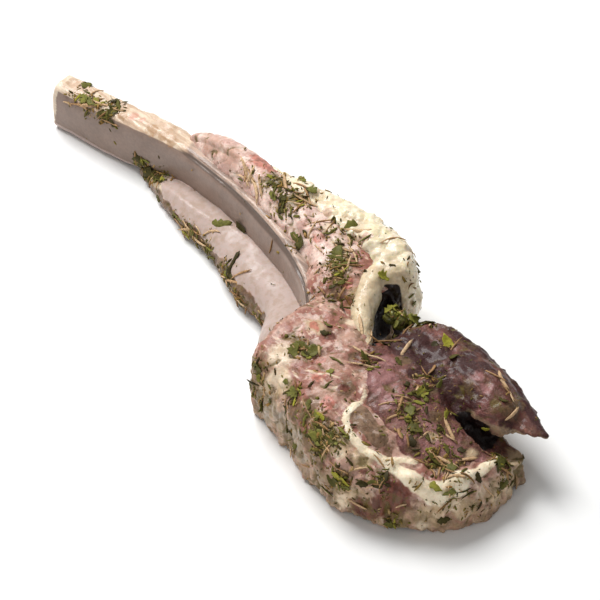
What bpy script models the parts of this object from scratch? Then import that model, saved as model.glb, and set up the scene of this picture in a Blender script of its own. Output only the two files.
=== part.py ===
"""A marinated lamb chop, raw: a long bare rib, its loin meat and its fat cap, rubbed with herbs.

The chop lies on one cut face. X runs along the rib from its free end to the loin, Y towards
the fat side and Z up. Tables are in millimetres, and MM turns them into metres.
"""
import math
import random

import bmesh
import bpy
import numpy as np
from mathutils import Matrix, Vector
from mathutils.bvhtree import BVHTree

MM = 0.001
NAME = "marinated_lamb_chop"
GAP = 0.35  # air between touching solids
MEAT_VOXEL = 2.5
FAT_VOXEL = 2.6
ALONG = 44
AROUND = 36
BONE_ALONG = 30
BONE_AROUND = 16

# A lump is a row of stations along a smooth path. Each holds x, y, z of the section's
# middle, half its width, half its height and its lean in degrees.
RIB = [
    (-90.3, 8.6, 6.8, 4.3, 7.1, 0),
    (-74.7, 11.6, 7.0, 4.5, 7.3, 0),
    (-63.7, 13.8, 7.7, 4.4, 7.3, 0),
    (-52.7, 15.7, 9.2, 4.2, 6.8, 0),
    (-42.7, 16.0, 10.2, 3.8, 6.4, 0),
    (-32.7, 15.6, 11.2, 3.8, 6.2, 0),
    (-22.7, 14.6, 12.4, 3.7, 5.9, 3),
    (-12.7, 13.1, 13.4, 3.6, 5.6, 8),
    (-2.7, 11.1, 14.0, 3.6, 5.4, 9),
    (7.3, 8.4, 14.3, 3.5, 5.2, 6),
    (16.3, 4.4, 14.5, 3.4, 5.1, 2),
    (24.3, -1.0, 14.8, 3.2, 4.8, 0),
    (31.3, -6.8, 15.0, 2.7, 4.2, 0),
]
STRIP = [
    (-60.7, 11.8, 0.8, 1.6, 1.6, 0),
    (-51.7, 11.8, 1.8, 3.8, 3.2, 0),
    (-43.7, 11.4, 2.6, 5.8, 4.2, 0),
    (-33.7, 11.2, 3.0, 7.4, 5.0, 0),
    (-23.7, 10.7, 3.4, 7.6, 5.8, 0),
    (-13.7, 9.2, 3.8, 8.6, 6.4, 0),
    (-3.7, 7.0, 4.2, 9.2, 6.8, 0),
    (5.3, 4.6, 4.6, 7.8, 7.2, 0),
    (12.3, 1.4, 5.0, 6.8, 7.8, 0),
    (19.3, -4.2, 5.6, 8.4, 8.6, 0),
    (27.3, -9.8, 6.2, 10.0, 9.6, 0),
]
BACK = [
    (-48.7, 18.0, 9.0, 2.4, 7.8, 0),
    (-41.7, 18.4, 10.4, 4.0, 10.2, 0),
    (-33.7, 18.6, 11.4, 5.0, 11.8, 0),
    (-23.7, 18.2, 11.8, 5.8, 12.2, 0),
    (-11.7, 17.2, 11.8, 6.4, 12.4, 0),
    (1.3, 16.1, 12.0, 7.9, 12.6, 0),
    (13.3, 14.8, 12.0, 9.9, 12.4, 0),
    (23.3, 11.1, 11.8, 12.3, 12.0, 0),
    (33.3, 6.2, 11.0, 12.6, 11.4, 0),
]
HEAD = [
    (20.3, -11.2, 8.0, 12.0, 13.0, 0),
    (26.3, -8.8, 8.0, 15.6, 14.0, 0),
    (33.3, -7.4, 8.0, 17.9, 14.0, 0),
    (41.3, -8.2, 8.0, 18.7, 13.6, 0),
    (51.3, -9.8, 7.8, 19.8, 13.2, 0),
    (59.3, -10.5, 7.5, 20.0, 12.4, 0),
    (67.3, -8.8, 7.0, 18.6, 11.4, 0),
    (74.3, -7.0, 6.4, 17.4, 10.4, 0),
    (80.8, -3.6, 5.8, 15.2, 9.2, 0),
    (85.8, 0.8, 5.2, 11.8, 7.8, 0),
    (89.3, 3.1, 4.8, 9.6, 6.8, 0),
]
FLAP = [
    (39.3, 12.2, 11.4, 5.4, 7.2, 0),
    (47.3, 12.8, 14.8, 7.6, 6.4, 0),
    (57.3, 12.6, 15.8, 8.2, 5.6, 0),
    (66.3, 12.4, 16.3, 7.8, 4.8, 0),
    (74.3, 12.4, 16.3, 6.4, 4.0, 0),
    (81.8, 12.4, 14.8, 4.2, 3.2, 0),
]
FLANGE = [
    (45.3, 17.2, 17.2, 3.4, 2.6, 0),
    (56.3, 18.0, 16.8, 4.0, 1.9, 4),
    (66.3, 17.6, 16.2, 4.4, 1.5, 6),
    (75.3, 16.2, 15.2, 4.6, 1.3, 8),
    (82.3, 15.2, 14.4, 3.8, 1.4, 8),
    (89.8, 16.2, 13.6, 1.2, 1.2, 0),
]
CAP = [
    (-21.7, 21.2, 9.6, 1.8, 12.4, 0),
    (-11.7, 21.8, 9.0, 3.6, 15.2, 0),
    (0.3, 22.4, 9.0, 5.2, 16.4, 0),
    (11.3, 23.4, 9.0, 6.2, 17.0, 0),
    (20.3, 23.4, 9.0, 6.6, 17.2, 0),
    (28.3, 21.0, 8.6, 5.4, 16.8, 0),
    (34.3, 18.0, 8.2, 3.6, 15.8, 0),
]
LIP = [
    (25.8, 20.0, 20.4, 3.2, 4.6, 0),
    (27.0, 13.8, 20.4, 2.7, 4.3, 0),
    (31.2, 7.2, 20.0, 2.4, 3.8, 0),
    (37.2, 2.0, 19.6, 2.2, 3.2, 0),
    (44.0, -1.4, 19.0, 1.9, 2.8, 0),
]
SLIT = [
    (61.3, 3.8, 17.6, 2.0, 2.0, 0),
    (68.3, 4.8, 15.6, 3.8, 4.2, 0),
    (76.3, 7.0, 13.6, 5.4, 5.6, 0),
    (85.3, 11.2, 13.4, 6.2, 5.4, 0),
    (97.3, 15.2, 14.4, 7.0, 5.4, 0),
]
POCKET = [
    (30.6, 17.0, 17.0, 2.2, 6.0, 0),
    (34.6, 12.4, 15.5, 4.4, 7.5, 0),
    (38.8, 6.6, 17.0, 2.8, 4.8, 0),
    (43.6, 1.8, 18.6, 1.6, 3.0, 0),
]

# Curves and patches of the top face, seen from above: x, y.
SEAM = [
    (44.3, 1.2),
    (48.3, -4.8),
    (52.3, -10.8),
    (57.3, -19.8),
    (65.3, -21.8),
    (73.3, -20.8),
    (80.3, -16.8),
    (84.3, -9.8),
    (85.3, 2.2),
]
EYE_EDGE = [
    (47.3, 2.2),
    (52.3, -4.8),
    (56.3, -10.8),
    (62.3, -15.8),
    (71.3, -15.8),
    (78.3, -11.8),
    (80.3, -4.8),
]
GRAIN_LINES = [
    [(23.3, 6.2), (31.3, 0.2), (39.3, -7.8), (45.3, -17.8)],
    [(27.3, -13.8), (35.3, -9.8), (43.3, -11.8), (51.3, -19.8)],
    [(-28.7, 17.2), (-12.7, 15.2), (3.3, 12.2), (15.3, 8.2)],
]
# Along this line the smooth lining of the ribs has hardly any ripples.
MEMBRANE = [(-53.7, 8.2), (-28.7, 7.2), (-3.7, 2.2), (13.3, -3.8), (23.3, -9.8)]
# A patch is x, y, its half lengths along X and Y, and how far it swells.
PATCHES = [
    (62.3, -3.8, 14.0, 9.0, 1.3),
    (58.8, -15.8, 5.5, 3.6, 1.0),
    (68.8, 5.7, 5.0, 3.2, -2.4),
    (34.3, -10.8, 7.0, 6.0, 0.9),
    (49.3, -21.8, 8.0, 4.0, 0.7),
    (-28.7, 19.2, 8.0, 5.0, 0.8),
]
RIPPLES = [(9.0, 0.40), (4.8, 0.22)]  # wavelength and height of the uneven surface
RIPPLE_WAVES = 7

# A herb is its kind, x, y, z, its heading in degrees and its length.
KINDS = {"needle": (1.5, 0.9), "leaf": (3.2, 0.8), "straw": (1.1, 0.9)}
BONE_HERBS = [
    ("leaf", -75.7, 11.2, 14.0, 20, 6.0),
    ("needle", -70.7, 10.8, 14.0, -35, 8.0),
    ("straw", -74.2, 13.2, 14.0, 60, 7.0),
    ("leaf", -83.7, 11.2, 14.0, 100, 5.0),
    ("leaf", -64.7, 16.7, 13.0, 10, 5.0),
]
FAT_HERBS = [
    ("leaf", 30.3, 16.2, 24.0, 40, 5.0),
    ("leaf", 9.3, 22.2, 26.0, -20, 5.0),
    ("needle", 18.3, 20.2, 26.0, 70, 9.0),
    ("leaf", -4.7, 22.2, 25.0, 10, 4.6),
    ("needle", 25.3, 27.2, 18.0, 10, 9.0),
]
MEAT_HERBS = [
    ("needle", -22.7, 6.8, 8.0, -30, 11.0),
    ("leaf", -55.7, 10.0, 4.0, 15, 4.0),
    ("leaf", -48.7, 9.2, 6.0, -10, 4.6),
    ("straw", -29.7, 4.6, 2.5, -15, 12.0),
    ("needle", -10.7, 1.6, 2.5, -40, 9.0),
    ("straw", -18.7, 15.2, 23.0, -40, 13.0),
    ("leaf", -8.7, 14.2, 23.0, -50, 6.0),
    ("leaf", 2.8, 10.6, 22.0, -60, 7.0),
    ("leaf", 37.8, 13.2, 19.0, 10, 6.0),
    ("needle", 42.3, 17.7, 19.0, 5, 8.0),
    ("leaf", 53.7, 14.9, 20.0, -25, 6.0),
    ("needle", 61.3, 10.2, 21.0, -50, 9.0),
    ("leaf", 62.3, 0.2, 20.0, 20, 5.0),
    ("leaf", 78.3, -7.8, 15.0, 10, 6.5),
    ("leaf", 85.3, 6.2, 10.0, 30, 6.0),
    ("straw", 48.3, -0.2, 21.0, 15, 12.0),
    ("straw", 48.8, 7.8, 21.0, 75, 8.0),
    ("straw", 73.3, 15.2, 19.0, -60, 12.0),
    ("leaf", 34.0, -13.5, 21.0, 0, 7.0),
    ("leaf", 63.8, -28.8, 8.0, 30, 6.0),
    ("leaf", 72.9, -25.8, 12.0, 70, 6.0),
    ("leaf", 55.6, -28.8, 15.0, 20, 6.0),
    ("straw", 63.3, -7.8, 20.0, -70, 10.0),
]
# Where more herbs lie: how many, then the box that they are drawn from, low and high corner.
BONE_SCATTER = [(4, (-86.7, 6.2, 12), (-50.7, 20.2, 14))]
FAT_SCATTER = [(6, (-16.7, 20.2, 12), (32.3, 30.2, 27))]
MEAT_SCATTER = [
    (5, (-44.7, 15.2, 22), (19.3, 22.2, 26)),
    (4, (-18.7, 11.2, 22), (21.3, 16.2, 26)),
    (3, (-54.7, 2.2, 2), (3.3, 7.2, 4)),
    (6, (23.3, -19.8, 21), (51.3, 6.2, 24)),
    (5, (51.3, -15.8, 18), (81.3, 0.2, 22)),
    (4, (47.3, 6.2, 20), (79.3, 20.2, 22)),
    (8, (25.3, -33.8, 4), (85.3, -25.8, 16)),
    (4, (81.3, -13.8, 5), (95.3, 8.2, 12)),
    (5, (37.3, 12.2, 6), (85.3, 24.2, 14)),
]
HERB_SEED = 11
RINGS = 2
LIFT = 0.15  # a herb's middle above the surface that it lies on
LOWEST_HERB = 1.6

COLOURS = {
    "rib_bone": ((0.42, 0.31, 0.29), 0.45),
    "meat": ((0.30, 0.10, 0.11), 0.32),
    "fat_cap": ((0.72, 0.62, 0.42), 0.38),
}


def smooth_rows(rows, at):
    """The rows read at places 0 to 1 of the Catmull-Rom curve through them."""
    known = np.asarray(rows, float)
    ends = np.vstack([2 * known[0] - known[1], known, 2 * known[-1] - known[-2]])
    place = np.clip(at, 0, 1) * (len(known) - 1)
    first = np.minimum(place.astype(int), len(known) - 2)
    t = (place - first)[:, None]
    a, b, c, d = (ends[first + k] for k in range(4))
    curve = 2 * b + (c - a) * t + (2 * a - 5 * b + 4 * c - d) * t**2
    return 0.5 * (curve + (3 * b - a - 3 * c + d) * t**3)


def lump(name, rows, square=2.6, ends=(1.0, 1.0), grow=0.0, along=ALONG, around=AROUND,
         parallel=False):
    """A closed tube along the stations, with superellipse sections and rounded ends.

    square is the superellipse's power and ends how long each rounded end is, in half widths.
    The sections stand across the path, or parallel to each other.
    """
    at = 0.5 - 0.5 * np.cos(np.linspace(0, math.pi, along))
    row = smooth_rows(rows, at)
    middle = row[:, :3]
    heading = np.gradient(middle, axis=0)
    if parallel:
        heading[:] = middle[-1] - middle[0]
    heading[:, 2] = 0
    heading /= np.linalg.norm(heading, axis=1)[:, None]
    middle[0] -= heading[0] * grow
    middle[-1] += heading[-1] * grow
    side = np.stack([-heading[:, 1], heading[:, 0], 0 * heading[:, 0]], 1)
    run = np.concatenate([[0], np.cumsum(np.linalg.norm(np.diff(middle, axis=0), axis=1))])
    first = np.clip(run / (ends[0] * row[0, 3]), 0, 1)
    last = np.clip((run[-1] - run) / (ends[1] * row[-1, 3]), 0, 1)
    close = np.sqrt(1 - (1 - first) ** 2) * np.sqrt(1 - (1 - last) ** 2)
    turn = np.linspace(0, 2 * math.pi, around, endpoint=False)
    wide = np.sign(np.cos(turn)) * np.abs(np.cos(turn)) ** (2 / square)
    high = np.sign(np.sin(turn)) * np.abs(np.sin(turn)) ** (2 / square)
    lean = np.radians(row[:, 5])[:, None]
    u = ((row[:, 3] + grow) * close)[:, None] * wide
    v = ((row[:, 4] + grow) * close)[:, None] * high
    rings = middle[:, None] + side[:, None] * (u * np.cos(lean) + v * np.sin(lean))[..., None]
    rings[..., 2] += v * np.cos(lean) - u * np.sin(lean)
    rings = rings[1:-1].reshape(-1, 3)
    grid = np.arange(len(rings)).reshape(-1, around)
    points = np.vstack([rings, middle[:1], middle[-1:]]) * MM
    nexts = np.roll(grid, -1, 1)
    quads = np.stack([grid[:-1], nexts[:-1], nexts[1:], grid[1:]], -1).reshape(-1, 4)
    fans = np.stack([nexts[0], grid[0], np.full(around, len(rings))], 1)
    fans = np.vstack([fans, np.stack([grid[-1], nexts[-1], np.full(around, len(rings) + 1)], 1)])
    mesh = bpy.data.meshes.new(name)
    mesh.from_pydata(points.tolist(), [], quads.tolist() + fans.tolist())
    thing = bpy.data.objects.new(name, mesh)
    bpy.context.scene.collection.objects.link(thing)
    return thing


def apply_modifiers(thing):
    """The thing's mesh becomes the one its modifiers make."""
    graph = bpy.context.evaluated_depsgraph_get()
    mesh = bpy.data.meshes.new_from_object(thing.evaluated_get(graph))
    thing.modifiers.clear()
    thing.data = mesh


def cut_to_triangles(thing):
    form = bmesh.new()
    form.from_mesh(thing.data)
    bmesh.ops.triangulate(form, faces=form.faces)
    form.to_mesh(thing.data)
    form.free()


def combine(thing, others, how):
    """Joins the others to the thing, or cuts them out of it, and removes them."""
    group = bpy.data.collections.new("combined")
    cut_to_triangles(thing)
    for other in others:
        cut_to_triangles(other)
        group.objects.link(other)
    step = thing.modifiers.new("combine", "BOOLEAN")
    step.operation = how
    step.operand_type = "COLLECTION"
    step.collection = group
    step.solver = "MANIFOLD"
    apply_modifiers(thing)
    for other in others:
        bpy.data.objects.remove(other)
    bpy.data.collections.remove(group)
    keep_largest_shell(thing)


def keep_largest_shell(thing):
    """Fills sealed hollows and drops loose scraps, by keeping the one largest closed skin."""
    form = bmesh.new()
    form.from_mesh(thing.data)
    shells, seen = [], set()
    for start in form.faces:
        if start in seen:
            continue
        shell, edge_of_shell = {start}, [start]
        while edge_of_shell:
            for edge in edge_of_shell.pop().edges:
                fresh = [face for face in edge.link_faces if face not in shell]
                shell.update(fresh)
                edge_of_shell += fresh
        seen |= shell
        shells.append(shell)
    largest = max(shells, key=len)
    stray = [face for face in form.faces if face not in largest]
    bmesh.ops.delete(form, geom=stray, context="FACES")
    bmesh.ops.delete(form, geom=[v for v in form.verts if not v.link_faces], context="VERTS")
    form.to_mesh(thing.data)
    form.free()


def soften(thing, voxel, rounds):
    """One even skin over everything that was joined, with its creases eased."""
    step = thing.modifiers.new("skin", "REMESH")
    step.mode = "VOXEL"
    step.voxel_size = voxel * MM
    step = thing.modifiers.new("ease", "SMOOTH")
    step.factor = 0.5
    step.iterations = rounds
    apply_modifiers(thing)
    keep_largest_shell(thing)


def level_floor(thing):
    """Cuts off what lies below z = 0, so that the chop rests on a flat cut face."""
    bpy.ops.mesh.primitive_cube_add(size=0.4, location=(0, 0, -0.2))
    combine(thing, [bpy.context.object], "DIFFERENCE")


def rib(grow=0.0):
    return lump("rib_bone", RIB, 4.2, (0.35, 1.0), grow, BONE_ALONG, BONE_AROUND)


def fat():
    cap = lump("fat_cap", CAP, 3.0, (1.0, 1.0), 0.0, 26, 20)
    combine(cap, [lump("lip", LIP, 2.2, (1.0, 1.0), 0.0, 16, 12)], "UNION")
    soften(cap, FAT_VOXEL, 2)
    return cap


def meat():
    body = lump("meat", HEAD, 3.4, (0.4, 0.3), parallel=True)
    combine(body, [lump("strip", STRIP, 2.3), lump("back", BACK, 2.8)], "UNION")
    combine(body, [lump("slit", SLIT, 2.0), lump("pocket", POCKET, 2.0)], "DIFFERENCE")
    combine(body, [lump("flap", FLAP, 2.3), lump("flange", FLANGE, 2.0)], "UNION")
    soften(body, MEAT_VOXEL, 2)
    return body


def grown(thing, by):
    """A copy of the thing with its skin moved out along its normals."""
    copy = thing.copy()
    copy.data = thing.data.copy()
    bpy.context.scene.collection.objects.link(copy)
    points, normals = skin_arrays(copy)
    copy.data.vertices.foreach_set("co", ((points + normals * by) * MM).ravel())
    return copy


def skin_arrays(thing):
    """The thing's vertices in millimetres, and their normals."""
    points = np.empty(len(thing.data.vertices) * 3, np.float32)
    normals = np.empty_like(points)
    thing.data.vertices.foreach_get("co", points)
    thing.data.vertices.foreach_get("normal", normals)
    return points.reshape(-1, 3) / MM, normals.reshape(-1, 3)


def waves(points, seed):
    """The uneven surface in millimetres: a sum of sines that run in random directions."""
    draw = random.Random(seed)
    height = np.zeros(len(points))
    for length, size in RIPPLES:
        for _ in range(RIPPLE_WAVES):
            way = Vector([draw.gauss(0, 1) for _ in range(3)]).normalized()
            turn = points @ np.array(way) * 2 * math.pi / length + draw.uniform(0, 2 * math.pi)
            height += np.sin(turn) * size / math.sqrt(RIPPLE_WAVES)
    return height


def nearness(points, path, width):
    """1 on the path seen from above, falling smoothly to 0 over the width."""
    line = smooth_rows(path, np.linspace(0, 1, 12 * len(path)))
    away = np.linalg.norm(points[:, None, :2] - line[None, :, :2], axis=2).min(1)
    return np.exp(-((away / width) ** 2))


def swell(points):
    """How far the top face stands above its plain form, in millimetres."""
    height = 0.9 * nearness(points, SEAM, 2.4) - 0.8 * nearness(points, EYE_EDGE, 1.8)
    for line in GRAIN_LINES:
        height -= 0.6 * nearness(points, line, 1.5)
    for x, y, long, wide, size in PATCHES:
        away = ((points[:, 0] - x) / long) ** 2 + ((points[:, 1] - y) / wide) ** 2
        height += size * np.exp(-away)
    return height


def emboss(thing, seed):
    """Moves each vertex along its normal by the ripples, and on the top face by the swells."""
    points, normals = skin_arrays(thing)
    height = waves(points, seed) * (1 - 0.7 * nearness(points, MEMBRANE, 8.0))
    if thing.name == "meat":
        height += swell(points) * np.clip(normals[:, 2] * 1.6 - 0.4, 0, 1)
    height *= 1 - nearness(points, FLANGE, 5.0)
    points += normals * height[:, None]
    thing.data.vertices.foreach_set("co", (points * MM).ravel())
    thing.data.update()


def surface_of(thing):
    """A search tree over the thing's faces."""
    return BVHTree.FromObject(thing, bpy.context.evaluated_depsgraph_get())


def herb(kind, place, heading, length, skin, neighbours):
    """A thin closed sprig that lies along the skin.

    None where it would touch a neighbour or the surface that the chop rests on.
    """
    width, thick = (size * MM for size in KINDS[kind])
    way = Vector((math.cos(math.radians(heading)), math.sin(math.radians(heading)), 0))
    foot, normal, _, _ = skin.find_nearest(Vector(place) * MM)
    along = (way - normal * way.dot(normal)).normalized()
    points = []
    for step in range(RINGS + 2):
        reach = (step / (RINGS + 1) - 0.5) * length * MM
        spot, up, _, _ = skin.find_nearest(foot + along * reach)
        if spot.z < LOWEST_HERB * MM:
            return None
        spot = spot + up * LIFT * MM
        for other in neighbours:
            if other.find_nearest(spot)[3] < 0.5 * width + 2 * GAP * MM:
                return None
        side = along.cross(up).normalized()
        swing = math.sin(math.pi * step / (RINGS + 1)) ** (0.4 if kind == "straw" else 0.8)
        if step in (0, RINGS + 1):
            points.append(spot)
        else:
            points += [spot + side * width / 2 * swing, spot + up * thick / 2,
                       spot - side * width / 2 * swing, spot - up * thick / 2]
    faces = []
    last = len(points) - 1
    for k in range(4):
        after = (k + 1) % 4
        faces.append((0, 1 + k, 1 + after))
        faces.append((last, last - 4 + after, last - 4 + k))
        for ring in range(RINGS - 1):
            low = 1 + 4 * ring
            faces.append((low + k, low + 4 + k, low + 4 + after, low + after))
    mesh = bpy.data.meshes.new("herb")
    mesh.from_pydata(points, [], faces)
    thing = bpy.data.objects.new("herb", mesh)
    bpy.context.scene.collection.objects.link(thing)
    return thing


def rub_with_herbs(thing, named, scatter, neighbours, seed):
    """Fuses the named herbs, and those drawn over each box, to the thing they lie on."""
    draw = random.Random(seed)
    rows = list(named)
    for count, low, high in scatter:
        for _ in range(count):
            kind = draw.choice(("leaf", "leaf", "needle", "straw"))
            place = [draw.uniform(a, b) for a, b in zip(low, high)]
            span = {"leaf": (3.5, 5.5), "needle": (6, 10), "straw": (5, 10)}[kind]
            rows.append((kind, *place, draw.uniform(0, 180), draw.uniform(*span)))
    skin = surface_of(thing)
    others = [surface_of(other) for other in neighbours]
    made = [herb(kind, (x, y, z), turn, length, skin, others)
            for kind, x, y, z, turn, length in rows]
    combine(thing, [one for one in made if one], "UNION")


def paint(thing):
    """The thing's own material."""
    colour, roughness = COLOURS[thing.name]
    material = bpy.data.materials.new(thing.name)
    material.use_nodes = True
    shader = material.node_tree.nodes["Principled BSDF"]
    shader.inputs["Base Color"].default_value = (*colour, 1)
    shader.inputs["Roughness"].default_value = roughness
    shader.inputs["Metallic"].default_value = 0
    material.diffuse_color = (*colour, 1)
    thing.data.materials.clear()
    thing.data.materials.append(material)
    thing.data.shade_smooth()
    thing.data.set_sharp_from_angle(angle=math.radians(40))


def main():
    for thing in list(bpy.data.objects):
        bpy.data.objects.remove(thing)
    body, cap = meat(), fat()
    for number, thing in enumerate((body, cap)):
        emboss(thing, number)
        level_floor(thing)
    combine(body, [rib(GAP), grown(cap, GAP)], "DIFFERENCE")
    bone = rib()
    level_floor(bone)
    rub_with_herbs(body, MEAT_HERBS, MEAT_SCATTER, [bone, cap], HERB_SEED)
    rub_with_herbs(cap, FAT_HERBS, FAT_SCATTER, [bone, body], HERB_SEED + 1)
    rub_with_herbs(bone, BONE_HERBS, BONE_SCATTER, [body, cap], HERB_SEED + 2)
    parts = bpy.data.collections.new(NAME)
    bpy.context.scene.collection.children.link(parts)
    for thing in (bone, body, cap):
        parts.objects.link(thing)
        bpy.context.scene.collection.objects.unlink(thing)
        paint(thing)


if __name__ == "__main__":
    main()
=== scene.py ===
"""The looks of a raw lamb chop that was rubbed with a herb marinade.

Every skin starts as tubes along the chop's muscles, bone and fat. They are joined into one even
skin, which gets the relief of the cut meat, and each vertex learns which tissue it belongs to.
Leaves, needles, straws and crumbs of the rub then lie on those skins. Tables are in millimetres.
"""
import math

import bmesh
import bpy
import numpy as np
from mathutils import Matrix, Vector
from mathutils.bvhtree import BVHTree


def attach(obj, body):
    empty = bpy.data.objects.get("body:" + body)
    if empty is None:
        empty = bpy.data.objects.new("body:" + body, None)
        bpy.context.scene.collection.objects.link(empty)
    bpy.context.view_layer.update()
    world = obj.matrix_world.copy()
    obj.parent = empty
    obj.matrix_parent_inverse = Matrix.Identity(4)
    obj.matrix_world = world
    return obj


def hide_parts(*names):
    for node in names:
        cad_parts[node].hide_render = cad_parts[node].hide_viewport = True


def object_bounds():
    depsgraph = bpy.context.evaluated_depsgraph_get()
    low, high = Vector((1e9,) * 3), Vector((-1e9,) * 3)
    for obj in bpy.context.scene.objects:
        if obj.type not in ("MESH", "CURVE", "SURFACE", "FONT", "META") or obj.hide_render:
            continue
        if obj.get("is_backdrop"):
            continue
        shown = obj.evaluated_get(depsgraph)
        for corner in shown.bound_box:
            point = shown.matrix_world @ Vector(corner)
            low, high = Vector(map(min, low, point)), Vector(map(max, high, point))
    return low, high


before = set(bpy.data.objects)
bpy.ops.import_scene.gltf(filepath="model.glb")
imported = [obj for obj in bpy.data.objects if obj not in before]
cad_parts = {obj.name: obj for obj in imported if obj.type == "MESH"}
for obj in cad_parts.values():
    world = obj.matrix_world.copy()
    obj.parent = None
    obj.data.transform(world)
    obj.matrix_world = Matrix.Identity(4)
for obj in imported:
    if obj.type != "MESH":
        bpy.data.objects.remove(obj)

bl_info = {
    "name": "Marinated lamb chop",
    "version": (1, 0, 0),
    "blender": (4, 5, 0),
    "location": "View3D > Sidebar > Chop",
    "description": "Dresses a raw lamb chop with its meat, fat, bone and herb rub",
    "category": "Object",
}

MM = 0.001
BODY = "root"
BOX_LOW, BOX_HIGH = (np.array(corner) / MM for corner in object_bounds())
# Turns the noise's lattice away from the axes, so that no row of bumps follows an edge.
LATTICE = np.array(Matrix.Rotation(math.radians(38), 3, Vector((1, 2, 3)).normalized()))

# Bone, muscles, fat and the hollows in them. Each is a row of stations along a smooth path, and
# a station is x, y, z of the section's middle, half its width, half its height and, in the rib
# and the flange, its lean in degrees.
RIB = [
    (-90.3, 8.6, 6.8, 4.3, 7.1, 0),
    (-74.7, 11.6, 7, 4.5, 7.3, 0),
    (-63.7, 13.8, 7.7, 4.4, 7.3, 0),
    (-52.7, 15.7, 9.2, 4.2, 6.8, 0),
    (-42.7, 16, 10.2, 3.8, 6.4, 0),
    (-32.7, 15.6, 11.2, 3.8, 6.2, 0),
    (-22.7, 14.6, 12.4, 3.7, 5.9, 3),
    (-12.7, 13.1, 13.4, 3.6, 5.6, 8),
    (-2.7, 11.1, 14, 3.6, 5.4, 9),
    (7.3, 8.4, 14.3, 3.5, 5.2, 6),
    (16.3, 4.4, 14.5, 3.4, 5.1, 2),
    (24.3, -1, 14.8, 3.2, 4.8, 0),
    (31.3, -6.8, 15, 2.7, 4.2, 0),
]
STRIP = [
    (-60.7, 11.8, 0.8, 1.6, 1.6),
    (-51.7, 11.8, 1.8, 3.8, 3.2),
    (-43.7, 11.4, 2.6, 5.8, 4.2),
    (-33.7, 11.2, 3, 7.4, 5),
    (-23.7, 10.7, 3.4, 7.6, 5.8),
    (-13.7, 9.2, 3.8, 8.6, 6.4),
    (-3.7, 7, 4.2, 9.2, 6.8),
    (5.3, 4.6, 4.6, 7.8, 7.2),
    (12.3, 1.4, 5, 6.8, 7.8),
    (19.3, -4.2, 5.6, 8.4, 8.6),
    (27.3, -9.8, 6.2, 10, 9.6),
]
BACK = [
    (-48.7, 18, 9, 2.4, 7.8),
    (-41.7, 18.4, 10.4, 4, 10.2),
    (-33.7, 18.6, 11.4, 5, 11.8),
    (-23.7, 18.2, 11.8, 5.8, 12.2),
    (-11.7, 17.2, 11.8, 6.4, 12.4),
    (1.3, 16.1, 12, 7.9, 12.6),
    (13.3, 14.8, 12, 9.9, 12.4),
    (23.3, 11.1, 11.8, 12.3, 12),
    (33.3, 6.2, 11, 12.6, 11.4),
]
HEAD = [
    (20.3, -11.2, 8, 12, 13),
    (26.3, -8.8, 8, 15.6, 14),
    (33.3, -7.4, 8, 17.9, 14),
    (41.3, -8.2, 8, 18.7, 13.6),
    (51.3, -9.8, 7.8, 19.8, 13.2),
    (59.3, -10.5, 7.5, 20, 12.4),
    (67.3, -8.8, 7, 18.6, 11.4),
    (74.3, -7, 6.4, 17.4, 10.4),
    (80.8, -3.6, 5.8, 15.2, 9.2),
    (85.8, 0.8, 5.2, 11.8, 7.8),
    (89.3, 3.1, 4.8, 9.6, 6.8),
]
FLAP = [
    (39.3, 12.2, 11.4, 5.4, 7.2),
    (47.3, 12.2, 13.6, 8.8, 6.2),
    (57.3, 12.4, 14.2, 9.2, 6),
    (66.3, 12.9, 15.2, 8.2, 5.2),
    (74.3, 12, 15.6, 6.6, 4.3),
    (81.6, 10.6, 14.6, 4.4, 3.4),
]
FLANGE = [
    (45.3, 17.2, 17, 3.4, 2.4, 0),
    (56.3, 18.2, 16.6, 4, 1.8, 4),
    (66.3, 18, 16, 4.4, 1.5, 6),
    (75.3, 16.6, 15, 4.8, 1.3, 8),
    (82.3, 15, 14.2, 4.2, 1.2, 8),
    (89.4, 16.2, 14, 0.4, 0.7, 0),
]
BRIDGE = [
    (40.5, 8.2, 12, 4, 7.2),
    (46, 6.6, 12, 6, 8),
    (55, 5, 12.2, 6.6, 8.2),
    (69, 4.4, 11.8, 4.6, 7),
]
CAP = [
    (-21.7, 21.2, 9.6, 1.8, 12.4),
    (-11.7, 21.8, 9, 3.6, 15.2),
    (0.3, 22.4, 9, 5.2, 16.4),
    (11.3, 23.4, 9, 6.2, 17),
    (18.6, 23.2, 9, 6.4, 17.2),
    (25, 22.8, 8.8, 6.6, 17.2),
    (29.6, 20.2, 8.6, 5, 16.8),
    (34, 17.8, 8.2, 3.4, 15.8),
]
LIP = [
    (25.8, 20, 20.4, 3.2, 4.6),
    (27.6, 13.8, 20.2, 3.2, 4.2),
    (32, 7.4, 19.6, 2.9, 3.8),
    (38, 2.2, 19, 2.3, 3.1),
    (44, -1.4, 18.6, 1.1, 2.9),
]
CLUMP = [
    (34.8, 14.2, 16.8, 1.2, 1.5),
    (36.8, 13.2, 17, 1.8, 1.9),
    (39.2, 13.8, 16.4, 1.9, 2),
    (42.2, 15.8, 16.4, 1.2, 1.6),
]
SLIT = [
    (70.4, 3.6, 17.2, 0.9, 1.4),
    (74, 4.8, 15.4, 2.3, 3.8),
    (78.6, 6.4, 13.4, 4.2, 5.4),
    (85.3, 11.2, 13.4, 6.2, 5.4),
    (97.3, 15.2, 14.4, 7, 5.4),
]
POCKET = [
    (31.6, 15.4, 16.4, 1.6, 5),
    (35, 12.2, 15.5, 3.4, 7),
    (39.4, 7.6, 17.2, 3.6, 5),
    (43.6, 1.8, 18.6, 1.6, 3),
]

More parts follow.
